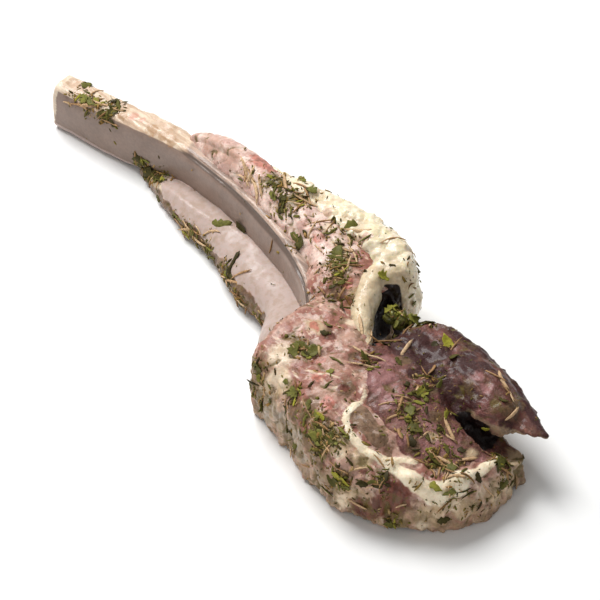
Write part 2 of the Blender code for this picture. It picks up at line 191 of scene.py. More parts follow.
# The dark eye of the loin and the flap beside it, as an outline seen from above: x, y.
EYE_OUTLINE = [
    (36, 10), (40, 4), (43.5, -1), (48.5, -6.5), (54, -11), (57, -13), (62, -13), (67, -14),
    (72, -15.5), (76, -14.5), (79.5, -12), (82.5, -8.5), (84, -3), (86, 2), (96, 4), (96, 30), (44, 30),
    (36, 16),
]
# Seams and thin strands of fat: half the width at each end, height and x, y, z along each.
SEAMS = [
    (1.5, 2, 0.9, [(69, -21.6, 19), (72, -20.4, 17.5), (76, -19.3, 16.3), (80, -18, 15)]),
    (2.4, 3.1, 1.4, [(79, -18.4, 15.3), (83, -16.9, 13.6), (85.4, -13.4, 13), (85.8, -9, 13.5)]),
    (2.2, 1.1, 0.6, [(85.8, -9.5, 13.5), (86, -4, 14), (86, 1, 13.6), (85, 5, 12)]),
    (1.1, 1.7, 0.7, [
        (56.2, -15.2, 21.5), (57.6, -19.6, 21), (61, -22, 20.4), (66, -22.4, 19.6), (70, -21.4, 18.6),
    ]),
    (0.9, 1.1, 0.5, [(54.3, -11.6, 21.5), (56, -13.6, 21.5), (56.4, -16, 21.5)]),
    (1.4, 1, 0.5, [(73, -19.4, 17.6), (74.6, -16.6, 17.6), (76.4, -14.6, 17)]),
]
STRANDS = [
    (0.9, 0.7, 0.3, [(50, -28.4, 1.4), (58, -30, 1.6), (64, -29.4, 1.6), (72, -26.4, 1.4)]),
    (0.5, 0.5, 0.3, [
        (56.4, -13.9, 21.4), (61, -13.4, 20.4), (65.5, -14.2, 19.6), (69.5, -15.8, 18.6), (71.5, -19, 18),
    ]),
    (0.3, 0.6, 0.3, [(48.5, -6.6, 22), (50.6, -9, 21.7), (54.3, -11.6, 21.5)]),
    (0.9, 0.5, 0.3, [
        (31, -17, 21), (36.4, -18.9, 22), (41, -17.5, 21.3), (45, -15, 21.3), (49, -13.2, 21.4),
    ]),
    (0.5, 0.6, 0.2, [(46, -25, 18.6), (47.4, -22, 20), (49.4, -17, 21), (50.4, -11.5, 21.7)]),
    (0.6, 0.4, 0.2, [(33, -10, 23), (38, -8, 23), (42, -10, 22), (46, -9, 22)]),
    (0.4, 0.4, 0.2, [(38, -20, 20.4), (42, -20.6, 20.4), (46, -18, 21)]),
    (0.5, 0.5, 0.2, [(14, 18, 24.6), (17, 17, 24.6), (20, 15, 24.4)]),
    (0.5, 0.4, 0.2, [(26, 6, 22.6), (30, 3, 22.4), (34, -2, 22.4)]),
]
# Lines on the meat, as x, y, z along them: the muscle that is ringed with fat, the strip's upper
# edge, where a pale highlight is painted, and its smooth lining, the flange's crease and outer edge,
# the valley between the eye and the flap and the crevice under the lip, both darkened with painted
# shade. CURL is the lip's crest on the fat.
NODULE = [(58.6, -16.8, 21), (62, -17.3, 20.6), (66.6, -17.8, 19.6)]
EDGE = [
    (-52, 8.8, 3.6), (-46, 7.9, 6), (-37, 7.5, 7.5), (-28, 7.5, 8.5), (-18, 8.6, 9.6), (-8, 7.6, 10.5),
]
LINING = [(-62, 11, 1.6), (-44, 9, 5), (-29, 7, 8), (-13, 4, 9), (0, 1, 10), (12, -3, 11), (21, -8, 11)]
FLANGE_CREASE = [
    (46, 17.6, 20), (54, 19, 20), (61, 19.4, 19), (69, 18.6, 18), (76, 16.6, 17), (81, 14, 16),
]
FLANGE_EDGE = [
    (50, 20.8, 18), (58, 21.4, 18), (67, 21.4, 17), (75, 19.8, 16), (82, 17.6, 15), (88, 16, 14),
]
EYE_VALLEY = [(43, 6.5, 20), (50, 7, 20), (57, 6.5, 20), (63, 5, 19.6), (67, 4.4, 19), (70, 3.6, 18)]
LIP_CREVICE = [(35.6, 9, 19.6), (37.2, 6, 20), (39.6, 3.6, 20.6), (43.4, 0.9, 20.8)]
CURL = [(17.6, 14.6, 25), (19, 18, 25.6), (21, 21.3, 25.6)]

# Spots, as x, y, z and radius: swells and dimples of the loin's face, the slit's inner end, flesh
# that shows through the fat, and stains and blood on the rib.
SWELLS = [(62, -4, 20, 9), (48, -20, 20, 6)]
DIMPLES = [(55, 8.6, 20, 2), (62, 9.4, 20, 1.8), (51, 12.6, 20, 1.5), (58, 3, 20, 1.4)]
SLIT_END = [(69, 6.4, 18.6, 3)]
FAT_FLESH = [(16.5, 17.6, 24.6, 2), (18.5, 20.6, 25.4, 1.6), (4, 19.4, 25, 1.8), (22, 14.6, 24, 1.6)]
RIB_STAINS = [(-57, 13, 15, 2.2), (-53, 13.4, 15.4, 1.8), (-49.6, 13.4, 15.9, 1.8), (-67, 11, 15, 1.6)]
RIB_BLOOD = [(-64.4, 12.8, 14.6, 1.6), (-61.5, 13.4, 14.8, 1.2)]
# Where the groove runs across the rib, from -1 at its flat side to 1 at the other.
GROOVE = -0.74
# Where each tissue of the meat has its patches: x, y, z and radius.
ZONES = {
    "rose": [
        (-38, 17, 20.5, 4.6), (-30, 16, 22.8, 4.6), (44, -12, 22, 4), (49, -19, 21, 3.4),
        (38, -3, 22, 3),
    ],
    "red": [
        (-22.6, 20.4, 23.4, 3.8), (-18.6, 20.6, 23.2, 3), (9, 13, 23.8, 2), (24.6, 8.6, 22.8, 2),
        (44, -17, 21.2, 2.4), (52, -20.6, 20.6, 2.4), (40, -13.4, 21.6, 1.8), (31, -7, 22, 1.8),
    ],
    "blood": [
        (46.6, -5, 21.7, 2.6), (36, -6.5, 22, 1.8), (79, -22.2, 10.6, 5.2), (72, -26.5, 5, 4.6),
        (77, -23.6, 7.6, 4.8), (60.6, -28.6, 12, 1.8), (43.6, 2, 20.6, 1.6), (50.6, -15, 21, 1.6),
        (53.6, -24.6, 19, 1.6), (70.6, -24.6, 14, 1.8),
    ],
    # Maroon is partly the eye's darkest muscle and partly painted shade: in the valley between the eye
    # and the flap, by the slit and along the flange's crease.
    "maroon": [
        (41, 6.5, 20, 5.5), (46.5, 9, 20, 6.5), (54, 9.5, 20, 5.5), (62.5, 12.5, 20, 4.2),
        (59, 6, 20, 3.4), (69, 6, 18.5, 4.6), (64, 3, 20, 2.4), (57, 1.6, 20.4, 1.8),
        (61, 15.6, 20, 2.6), (66, 16.8, 19, 2.4), (71, 17, 18.6, 2.2), (81, 9.6, 15.6, 2),
    ],
    # The last three purple spots, on the flap, are painted glints.
    "purple": [
        (54, -6, 21, 4.6), (60, -7.6, 20.4, 4), (49.6, -1, 21, 3), (78, -5, 17, 4.6), (70, -6, 18.6, 4),
        (74, -8, 17.6, 5), (66, -3, 20, 2.6), (70, -12.4, 19, 3), (66.6, -11, 19.4, 2.4),
        (84.6, 0, 14, 1.8), (67, 12.6, 20.4, 1.9), (71.6, 11.6, 20, 2.4), (76, 10.4, 18.6, 1.3),
    ],
    "brown": [
        (64, 1, 20, 2.4), (69.5, -2, 19, 2.4), (73, -12, 17.6, 2.6), (44.6, -6.3, 21.7, 1.8),
        (50.8, -14.7, 21, 2.6), (57, -26, 16.5, 5), (79, 0, 17.2, 2.4), (52, 3, 20.6, 2.6),
        (34, -6, 22, 1.8), (46, -26, 17, 3), (60, -28, 8, 3.6), (84, -19, 5, 3), (88.5, 8, 6, 3),
        (-5, 18.2, 23.4, 3.2), (-13.5, 18.4, 23.2, 2.8), (62, -23.4, 18.6, 1.6), (66, -24.4, 15.6, 1.8),
        (35, -12.6, 22.6, 2), (70, -24.6, 11, 1.8), (50, -25, 17, 2.4), (28, 2, 22.6, 1.8),
        (29, -24, 12, 2), (80, 12.6, 17.4, 3), (78, 15.4, 17, 2.4),
    ],
    "tan": [
        (62.9, -25, 18.2, 3.4), (68.5, -23.9, 17.4, 3.4), (68.6, -27.6, 7, 3.8), (65, -28, 4, 3),
        (38, -23.4, 17.6, 3.4), (73.6, -6.4, 17.4, 1.6), (82, -1.4, 15.2, 2), (31.1, -6.7, 22, 3),
        (28.6, 8.4, 22, 2.4), (87.4, -5, 4, 3.4), (89, 5, 4, 3.4), (87.4, -9, 7, 4.6), (89, 0, 7, 5),
        (84.6, -16, 7, 4), (86.5, 6, 7, 4), (64, -25.6, 14, 2.4), (85, -19, 8, 3), (17, 13.6, 24, 2.4),
        (85, 9, 9, 4), (34, -24, 15, 3),
    ],
    "grey": [
        (33, -24.6, 7, 4.8), (46.5, -26.5, 10, 4.6), (41.6, -25.5, 9, 5), (51, -27.6, 8, 3.8),
        (36, -25, 11, 4.4), (51.2, -26.6, 13, 2.8),
    ],
    "pale": [
        (32.5, -18.5, 21, 4.6), (29, -19, 16, 4.2), (36, -21.6, 19, 3), (30.6, 6, 21, 2),
        (35, 1, 21.6, 1.8), (88, -5, 10, 3), (86.6, -11, 8, 2.6), (87.6, -1, 5, 2.2),
        (66.6, -28.6, 5, 2.4), (35, -23, 18, 2.4), (28, 1, 23, 1.8), (45, -17, 21, 1),
        (31, -23, 12, 2.2), (75, -15.6, 17.6, 1.8), (88.6, 3, 9, 1.8), (83, -18.6, 3.4, 2),
        (8, 17, 24.4, 2.2), (13, 15, 24, 1.8), (38.6, -22, 19, 1.6), (64, -26.4, 16.6, 1.4),
        (71, -25.6, 8.6, 1.4),
    ],
}

# Where the rub lies thick: x, y, z, radius and how thick.
RUB = [
    (-81.8, 7.2, 13.7, 3, 0.8), (-77, 8.6, 13.8, 3, 1.2), (-71.2, 8.7, 13.5, 3.2, 1.8),
    (-71, 13, 14.4, 2.6, 0.7), (-82.6, 12.3, 13.9, 2.4, 0.6), (-59.5, 10.3, 4.1, 2.6, 1.8),
    (-55.5, 10.6, 3, 2.6, 1.8), (-50, 9.6, 4.6, 3, 1.4), (-36, 4.6, 2, 3.4, 0.8),
    (-30.6, 3.7, 2, 3.6, 1.6), (-22.8, 3.3, 3, 3.6, 1.8), (-11, 0.5, 4, 3.6, 1.8),
    (-3.4, -1.5, 2.3, 3.6, 1.6), (7.7, -4, 3, 3.6, 1.2), (-23.1, 14.9, 22.8, 2.6, 0.7),
    (-14, 18, 23.4, 4, 1.7), (-5, 17, 23.6, 4.4, 1.6), (-6.5, 12.5, 23, 2.6, 1), (4, 9.2, 21, 2.6, 1),
    (8, 15, 24, 3.4, 1), (18.5, 11, 24, 4, 1.9), (14, 17.4, 24.6, 3, 1), (25, 4, 22.5, 4, 1.1),
    (37.4, 14.2, 18.4, 2.2, 2.6), (43, 18, 19.5, 2.6, 1.8), (35.3, -14.6, 22.6, 3.2, 1.8),
    (29, -23.1, 16.7, 3, 1.2), (42.4, -23.7, 19, 3, 1.4), (57, -27.1, 17, 4, 2.2),
    (60, -25.5, 18, 2.6, 1.2), (66.5, -28.9, 11.6, 3.6, 1.6), (74.5, -23.8, 14.5, 3, 1.2),
    (50, -25, 18, 3.4, 1), (79.5, -9.1, 15.4, 3.6, 1.8), (85.6, 5, 12, 3.4, 1.8),
    (64.9, -7, 20.1, 3.4, 1.3), (70, -9, 19, 3.2, 1.4), (63, -0.4, 19.9, 2.6, 1.2),
    (54, 15.2, 20.4, 2.8, 1), (77, 13.4, 19, 2.6, 0.7), (47.6, -4.5, 21.9, 2.6, 1.4),
    (78.7, -22.9, 3, 3, 1.4), (88, 2, 8, 3, 1), (60, 4, 20, 3.4, 0.8), (30, -22, 8, 4.4, 0.7),
    (86, -12, 9, 4, 0.8), (74, -3, 18, 4, 0.8), (88, -5, 5, 4, 0.8), (33, -24.4, 12, 3, 0.8),
    (46, -26.6, 5, 3, 0.8), (22, 8, 23, 3, 0.8), (80.6, -17.6, 14.6, 1.6, 0.6),
    (85.8, -9, 13.6, 2, 0.9), (73, -20.4, 17.4, 1.6, 0.6), (62, -22, 20.2, 1.4, 0.9),
    (57.4, -18.4, 21, 1.2, 0.7),
]

# The bigger sprigs of the rub, by kind: x, y, z, heading in degrees, length and shade from 0 to 1.
SPRIGS = {
    "leaf": [
        (-83, 11.6, 14, 100, 3.6, 0.5), (-77, 8.8, 14, 20, 5, 0.6), (-71.4, 8.4, 13, -20, 4.6, 0.15),
        (-70.2, 10.4, 14, -70, 4, 0.2), (-79.4, 8, 14, -10, 3.6, 0.7), (-59.6, 9.6, 4.6, 15, 4, 0.2),
        (-55.6, 9.6, 4, -10, 4, 0.1), (-50, 9.6, 5.4, -25, 4, 0.15), (-23, 7.4, 9.2, 34, 6.6, 0.55),
        (-17.6, 9.8, 10.6, -20, 4.4, 0.12), (-6.6, 12.6, 23, 62, 4.8, 0.3),
        (3, 9.4, 21.4, -22, 5, 0.45), (5, 9.4, 22.4, -60, 4.4, 0.2), (16.6, 12.6, 24, -35, 4.4, 0.45),
        (11.8, 20.6, 25.4, 60, 3.6, 0.65), (30, 16, 24, 40, 4, 0.85), (-4.7, 21.6, 24.4, 10, 3.4, 0.6),
        (37.4, 13.6, 18.6, 10, 5.4, 0.85), (39.4, 14.4, 18.6, 50, 4.6, 0.7),
        (35.6, 13.4, 18.4, 80, 4.6, 0.8), (38.6, 12.4, 17.6, -30, 5, 0.6),
        (41.4, 15.8, 18.4, 20, 4, 0.75), (37, 12.6, 18.4, 120, 4.4, 0.5),
        (36.4, 14.8, 17.6, -20, 4.4, 0.7), (43, 18.2, 19.6, 60, 4.6, 0.2), (40.4, 17, 18.4, 90, 4, 0.5),
        (53.8, 15.4, 20.4, -25, 5.6, 1), (58, 13.6, 20.6, -60, 4, 0.25), (62.9, -0.6, 20, 70, 3.6, 0.8),
        (64.9, -6.6, 20.1, -15, 4.6, 0.5), (69.7, -8.7, 19, 20, 4.4, 0.35),
        (79, -9.4, 15.6, 35, 5.6, 0.3), (81.6, -8, 15.2, -30, 4.6, 0.45), (85.6, 5, 12, 60, 5.6, 0.35),
        (87, 3, 12, -10, 4.6, 0.5), (35, -14.4, 22.4, 0, 5.6, 0.45), (37.6, -13, 22.4, 60, 4.6, 0.5),
        (33.8, -16, 21.6, -40, 4, 0.55), (29.2, -23, 17, 30, 3.8, 0.35),
        (42.4, -24, 19.4, 20, 3.8, 0.6), (56.4, -27.4, 17.4, 20, 5.4, 0.7),
        (59.8, -26.2, 18, -40, 4, 0.3), (66.4, -29, 11.8, 60, 6, 1), (64.2, -29, 9.6, 10, 4, 0.3),
        (74.6, -24.2, 14.6, 80, 6, 0.05), (78.7, -23.2, 2.6, 0, 5, 0.4), (32.4, -24.6, 7, 50, 3.6, 0.4),
        (86.6, -12.6, 12, 50, 4, 0.6), (84, -14.8, 13.6, 20, 3.6, 0.8),
    ],
    "needle": [
        (-71, 12.8, 14.2, -30, 6, 0.4), (-53.5, 9.6, 4.4, -12, 6, 0.3), (-10.6, 2.6, 8, -88, 6, 0.05),
        (-9.4, 0.6, 6, -60, 6, 0.15), (18, 11.2, 24.2, 20, 6.6, 0.5), (20.4, 11.4, 24, 70, 6.6, 0.6),
        (18.3, 20.2, 25.6, 70, 5, 0.6), (42.3, 17.7, 19.4, 5, 6, 0.2), (47.4, -4.6, 22.2, 0, 5.4, 0.35),
        (44, -26, 10, 10, 5, 0.3), (62, -28.4, 5, -10, 6, 0.5),
    ],
    "straw": [
        (-76.2, 8, 14, 48, 6.5, 0.7), (-73.5, 10.4, 14.4, 38, 7, 0.8), (-28, 3.2, 3.2, -18, 12, 0.9),
        (-36, 4.4, 2.6, -14, 6, 0.6), (-17.4, 13.4, 22.4, -48, 9, 0.9), (-16, 14.4, 22.6, -70, 7, 0.8),
        (-23, 16, 23, -66, 8, 0.8), (-20.6, 14.6, 22.8, -84, 7, 0.9), (-10.4, 18.4, 23.6, -30, 8, 0.75),
        (-3, 18.6, 24, 20, 7, 0.7), (14.6, 20.6, 25.6, 40, 8, 0.9), (38.6, 1, 22.6, -34, 8, 0.95),
        (44.6, -3.8, 22, 24, 6, 0.9), (49, -1.4, 21.2, 33, 7, 1), (48.9, 6.6, 20.9, 112, 6.4, 0.9),
        (71.8, 16.4, 19.6, -18, 7, 0.8), (76.4, 15.2, 18.6, -40, 5.6, 0.9),
        (80.4, 12.2, 17.4, -60, 5.4, 0.85), (63, -8, 20.6, -60, 5.4, 0.4), (68, -12, 19, -35, 7, 0.5),
        (58, 6.6, 20.4, -60, 5, 0.3), (80.6, -8, 16, 20, 7, 0.8), (82.4, -3.6, 15.4, 60, 6, 0.7),
        (73.6, -1.4, 18.4, -20, 9, 0.7), (84.6, -9, 14.4, 50, 5, 0.75), (71, -27.6, 6, -40, 6, 0.7),
    ],
}
# Kinds of sprig: width, thickness, cup across, curl along, rings and sides.
KINDS = {
    "leaf": (1.75, 0.30, 0.22, 0.45, 7, 8),
    "needle": (0.80, 0.42, 0.10, 0.35, 6, 6),
    "straw": (0.62, 0.42, 0.00, 0.15, 5, 6),
}
# The piece that holds each kind, the least and greatest length of its loose sprigs, and the seed
# of its random draws.
LOOSE = {
    "leaf": ("leaves", 1.6, 3.6, 51),
    "needle": ("needles", 2.4, 5.0, 52),
    "straw": ("straws", 3.0, 8.5, 53),
}
# How wide the sprigs named above and the loose ones are, as shares of their kind's width.
NAMED_WIDTH = 1.55
LOOSE_WIDTHS = (0.55, 1.05)
# The least and greatest reach of a crumb along itself, across itself and up, as shares of its size.
CRUMB_REACH = ((1.2, 3.6), (0.6, 1.3), (0.3, 0.7))
CRUMB_SEED = 54
# How far above the skin the middles of a sprig and of a crumb lie.
SPRIG_LIFT = 0.14
CRUMB_LIFT = 0.05
# The most that a sprig's ends bend down, as a share of its length, and how squarely it may point
# into the skin before it stands upright instead, as a cosine.
MOST_DROP = 0.25
STEEP = 0.85

# Colours of the rub, from the darkest shade to the lightest, and of the floor.
GREENS = ((0.035, 0.024, 0.003), (0.085, 0.076, 0.009), (0.17, 0.165, 0.032), (0.33, 0.30, 0.025))
STALKS = ((0.22, 0.11, 0.035), (0.42, 0.24, 0.11), (0.66, 0.46, 0.27))
SPECKS = (
    (0.05, 0.032, 0.006),
    (0.10, 0.08, 0.012),
    (0.17, 0.15, 0.025),
    (0.30, 0.16, 0.04),
    (0.46, 0.32, 0.15),
)
FLOOR_TONES = ((0.90, 0.90, 0.89), (0.92, 0.92, 0.915))
# How far the floor reaches from the chop.
FLOOR_REACH = 1600.0

# Square lamps: azimuth and elevation in degrees, distance and side in metres, share of the key's power.
LAMPS = {
    "key": (-95, 55, 0.9, 0.50, 1.0),
    "front": (28, 16, 0.9, 0.50, 0.14),
    "glint": (-150, 38, 0.8, 0.04, 0.015),
}


# ---- Random heights, smooth curves and distances -------------------------------------------


def scramble(cells, seed):
    """A number from -1 to 1 for each cell of a lattice: its coordinates times large primes,
    with the high bits folded onto the low ones twice."""
    mixed = (cells.astype(np.int64) * [73856093, 19349663, 83492791]).sum(-1) + seed * 40503
    mixed = (mixed ^ (mixed >> 13)) * 1274126177 & 0xFFFFFFFF
    mixed = (mixed ^ (mixed >> 15)) * 668265263 & 0xFFFFFFFF
    return (mixed >> 12 & 0xFFFF) / 32767.5 - 1


def hills(points, size, seed):
    """Smooth heights from -1 to 1, with hills about as wide as size: the eight corners of each
    point's cell, blended by 6t^5 - 15t^4 + 10t^3 along each axis."""
    place = points @ LATTICE / size
    cell = np.floor(place)
    t = place - cell
    t = t * t * t * (t * (t * 6 - 15) + 10)
    height = np.zeros(len(points))
    for corner in np.ndindex(2, 2, 2):
        share = np.where(corner, t, 1 - t).prod(-1)
        height += share * scramble(cell + corner, seed)
    return height


def rough(points, size, seed, octaves=3):
    """Hills with hills on them: each octave is half as wide and 0.55 times as high."""
    height, top = np.zeros(len(points)), 0
    for octave in range(octaves):
        height += 0.55**octave * hills(points, size / 2**octave, seed + 7 * octave)
        top += 0.55**octave
    return height / top


def creases(points, size, seed, width=0.12):
    """1 on winding lines where smooth noise crosses zero, and less beside them."""
    drift = drifted(points, size, 0.2 * size, seed + 30)
    return np.exp(-((hills(drift, size, seed) / width) ** 2))


def billows(points, size, seed):
    """Rounded lumps with sharp valleys between them, from 0 to 1: smooth noise folded at zero."""
    drift = drifted(points, size, 0.15 * size, seed + 30)
    return np.minimum(1, 1.6 * np.abs(hills(drift, size, seed)))


def drifted(points, size, amount, seed):
    """The points moved by smooth noise, which makes the border of any mask wander."""
    return points + amount * np.stack([rough(points, size, seed + k) for k in range(3)], 1)


def rise(value, low, high):
    """0 below low, 1 above high and 3t^2 - 2t^3 between them."""
    t = np.clip((value - low) / (high - low), 0, 1)
    return t * t * (3 - 2 * t)


def smooth_rows(rows, at):
    """The rows read at places 0 to 1 of the Catmull-Rom curve through them."""
    known = np.asarray(rows, float)
    ends = np.vstack([2 * known[0] - known[1], known, 2 * known[-1] - known[-2]])
    place = np.clip(at, 0, 1) * (len(known) - 1)
    first = np.minimum(place.astype(int), len(known) - 2)
    t = (place - first)[:, None]
    a, b, c, d = (ends[first + k] for k in range(4))
    curve = 2 * b + (c - a) * t + (2 * a - 5 * b + 4 * c - d) * t**2
    return 0.5 * (curve + (3 * b - a - 3 * c + d) * t**3)


def ridge(points, path, width_start, width_end):
    """1 on the path's curve and e to the minus (distance / width) squared off it, where the width
    runs from one end's to the other's and height counts 0.6 times."""
    line = smooth_rows([station[:3] for station in path], np.linspace(0, 1, 10 * len(path)))
    width = np.linspace(width_start, width_end, len(line))
    away = np.linalg.norm((points[:, None] - line[None]) * (1, 1, 0.6), axis=2) / width
    return np.exp(-(away.min(1) ** 2))


def spots(points, rows):
    """The highest of the spots' e to the minus (distance / radius) squared."""
    rows = np.asarray(rows, float)
    away = np.linalg.norm(points[:, None] - rows[None, :, :3], axis=2) / rows[:, 3]
    return np.exp(-(away.min(1) ** 2))


def inside(points, outline):
    """The distance to the outline as seen from above, above 0 inside it and below 0 outside."""
    start = np.asarray(outline, float)
    run = np.roll(start, -1, 0) - start
    off = points[:, None, :2] - start[None]
    along = np.clip((off * run).sum(2) / (run**2).sum(1), 0, 1)
    away = np.linalg.norm(off - along[..., None] * run, axis=2).min(1)
    crosses = (off[..., 1] < 0) != (off[..., 1] - run[:, 1] < 0)
    slope = np.where(run[:, 1] == 0, 1, run[:, 1])
    left = off[..., 0] < off[..., 1] / slope * run[:, 0]
    return np.where((crosses & left).sum(1) % 2, away, -away)


def rub_depth(points):
    """How thick the rub lies: its patches added up."""
    rows = np.asarray(RUB, float)
    away = np.linalg.norm(points[:, None] - rows[None, :, :3], axis=2) / rows[:, 3]
    return (np.exp(-(away**2)) * rows[:, 4]).sum(1)


def slit_depth(points):
    """1 inside the slit under the flap, and 0 at its mouth and outside it."""
    depth = ridge(points, SLIT[:4], 4.2, 7.5) * rise(17.5 - points[:, 2], -0.5, 3.5)
    mouth = rise(points[:, 0] + rough(points, 4, 19), 76.5, 80.5)
    return rise(depth, 0.3, 0.75) * (1 - mouth)


# ---- Skins ---------------------------------------------------------------------------------


def tube(rows, square, ends=(1.0, 1.0), along=90, around=72, parallel=False):
    """Points and faces of a closed tube. Its section at each station is the superellipse
    |u / width|^square + |v / height|^square = 1, and each end shrinks as a quarter ellipse. A
    parallel tube has all its sections turned alike."""
    at = 0.5 - 0.5 * np.cos(np.linspace(0, math.pi, along))
    row = smooth_rows([(*row, 0)[:6] for row in rows], at)
    middle = row[:, :3]
    heading = np.gradient(middle, axis=0)
    if parallel:
        heading[:] = middle[-1] - middle[0]
    heading[:, 2] = 0
    heading /= np.linalg.norm(heading, axis=1)[:, None]
    side = np.stack([-heading[:, 1], heading[:, 0], 0 * heading[:, 0]], 1)
    run = np.concatenate([[0], np.cumsum(np.linalg.norm(np.diff(middle, axis=0), axis=1))])
    first = np.clip(run / (ends[0] * row[0, 3]), 0, 1)
    last = np.clip((run[-1] - run) / (ends[1] * row[-1, 3]), 0, 1)
    close = np.sqrt(1 - (1 - first) ** 2) * np.sqrt(1 - (1 - last) ** 2)
    turn = np.linspace(0, 2 * math.pi, around, endpoint=False)
    wide = np.sign(np.cos(turn)) * np.abs(np.cos(turn)) ** (2 / square)
    high = np.sign(np.sin(turn)) * np.abs(np.sin(turn)) ** (2 / square)
    lean = np.radians(row[:, 5])[:, None]
    u = (row[:, 3] * close)[:, None] * wide
    v = (row[:, 4] * close)[:, None] * high
    rings = middle[:, None] + side[:, None] * (u * np.cos(lean) + v * np.sin(lean))[..., None]
    rings[..., 2] += v * np.cos(lean) - u * np.sin(lean)
    points = np.vstack([rings[1:-1].reshape(-1, 3), middle[:1], middle[-1:]])
    return points, tube_faces(along - 2, around)


def tube_faces(rings, around):
    """The quads of a tube and the fans that close it at its last two points."""
    grid = np.arange(rings * around).reshape(rings, around)
    nexts = np.roll(grid, -1, 1)
    quads = np.stack([grid[:-1], nexts[:-1], nexts[1:], grid[1:]], -1).reshape(-1, 4)
    tip = np.full(around, rings * around)
    fans = [np.stack([nexts[0], grid[0], tip], 1), np.stack([grid[-1], nexts[-1], tip + 1], 1)]
    return quads.tolist() + np.vstack(fans).tolist()


def mesh_thing(name, points, faces):
    """An object at the origin, from points in millimetres."""
    mesh = bpy.data.meshes.new(name)
    mesh.from_pydata((points * MM).tolist(), [], faces)
    thing = bpy.data.objects.new(name, mesh)
    bpy.context.scene.collection.objects.link(thing)
    return thing


def apply_modifiers(thing):
    """Makes the modifiers' result the thing's own mesh."""
    graph = bpy.context.evaluated_depsgraph_get()
    mesh = bpy.data.meshes.new_from_object(thing.evaluated_get(graph))
    thing.modifiers.clear()
    thing.data = mesh


def cut_to_triangles(thing):
    """Splits every face, because the Boolean joins triangles most safely."""
    form = bmesh.new()
    form.from_mesh(thing.data)
    bmesh.ops.triangulate(form, faces=form.faces)
    form.to_mesh(thing.data)
    form.free()


def combine(thing, others, how):
    """Joins the others to the thing, or cuts them out of it, and removes them."""
    group = bpy.data.collections.new("combined")
    cut_to_triangles(thing)
    for other in others:
        cut_to_triangles(other)
        group.objects.link(other)
    step = thing.modifiers.new("combine", "BOOLEAN")
    step.operation = how
    step.operand_type = "COLLECTION"
    step.collection = group
    step.solver = "MANIFOLD"
    apply_modifiers(thing)
    for other in others:
        bpy.data.objects.remove(other)
    bpy.data.collections.remove(group)


def even_skin(thing, voxel, rounds):
    """One skin of small quads over everything that was joined, with its creases eased."""
    step = thing.modifiers.new("skin", "REMESH")
    step.mode = "VOXEL"
    step.voxel_size = voxel * MM
    step = thing.modifiers.new("ease", "SMOOTH")
    step.factor = 0.5
    step.iterations = rounds
    apply_modifiers(thing)


def level_floor(thing):
    """Cuts off what lies below z = 0, so that the chop rests on a flat cut face."""
    bpy.ops.mesh.primitive_cube_add(size=0.4, location=(0, 0, -0.2))
    combine(thing, [bpy.context.object], "DIFFERENCE")


def skin_arrays(thing):
    """The thing's vertices in millimetres, and their normals."""
    points = np.empty(len(thing.data.vertices) * 3, np.float32)
    normals = np.empty_like(points)
    thing.data.vertices.foreach_get("co", points)
    thing.data.vertices.foreach_get("normal", normals)
    return points.reshape(-1, 3).astype(float) / MM, normals.reshape(-1, 3).astype(float)


def set_points(thing, points):
    """Moves the vertices, none of them out of the chop's box."""
    points = np.clip(points, BOX_LOW, BOX_HIGH)
    thing.data.vertices.foreach_set("co", (points * MM).astype(np.float32).ravel())
    thing.data.update()


def keep_tissue(thing, **shares):
    """Stores each share, a number from 0 to 1 at every vertex, as an attribute."""
    for name, share in shares.items():
        layer = thing.data.attributes.new(name, "FLOAT", "POINT")
        layer.data.foreach_set("value", np.clip(share, 0, 1).astype(np.float32))


def dress(thing, material, node):
    """The thing's material, its smooth shading and what it stands for."""
    thing.data.materials.clear()
    thing.data.materials.append(material)
    thing.data.polygons.foreach_set("use_smooth", np.ones(len(thing.data.polygons), bool))
    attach(thing, BODY)
    if node:
        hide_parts(node)


# ---- The meat ------------------------------------------------------------------------------


def meat_shape(voxel):
    """Loin, rib strip and back muscle, with the slit under the flap and the hollow by the fat."""
    body = mesh_thing("meat_flesh", *tube(HEAD, 3.4, (0.4, 0.3), parallel=True))
    joined = [mesh_thing("strip", *tube(STRIP, 2.3)), mesh_thing("back", *tube(BACK, 2.8))]
    combine(body, joined, "UNION")
    carved = [mesh_thing("slit", *tube(SLIT, 2.0)), mesh_thing("pocket", *tube(POCKET, 2.0))]
    combine(body, carved, "DIFFERENCE")
    joined = [mesh_thing("flap", *tube(FLAP, 2.8)), mesh_thing("flange", *tube(FLANGE, 2.0))]
    combine(body, [*joined, mesh_thing("bridge", *tube(BRIDGE, 3.0))], "UNION")
    level_floor(body)
    even_skin(body, voxel, 14)
    return body


def wall_folds(points, normals):
    """Upright folds on the outer wall of the head, from -1 to 1, and 0 elsewhere."""
    wall = (1 - rise(normals[:, 2], 0.0, 0.6)) * rise(points[:, 0], 24, 30)
    upright = points * (1, 1, 0.3)
    return wall * (rough(upright, 3.4, 46, 3) + 0.4 * rough(upright, 1.1, 47, 2)) / 1.4


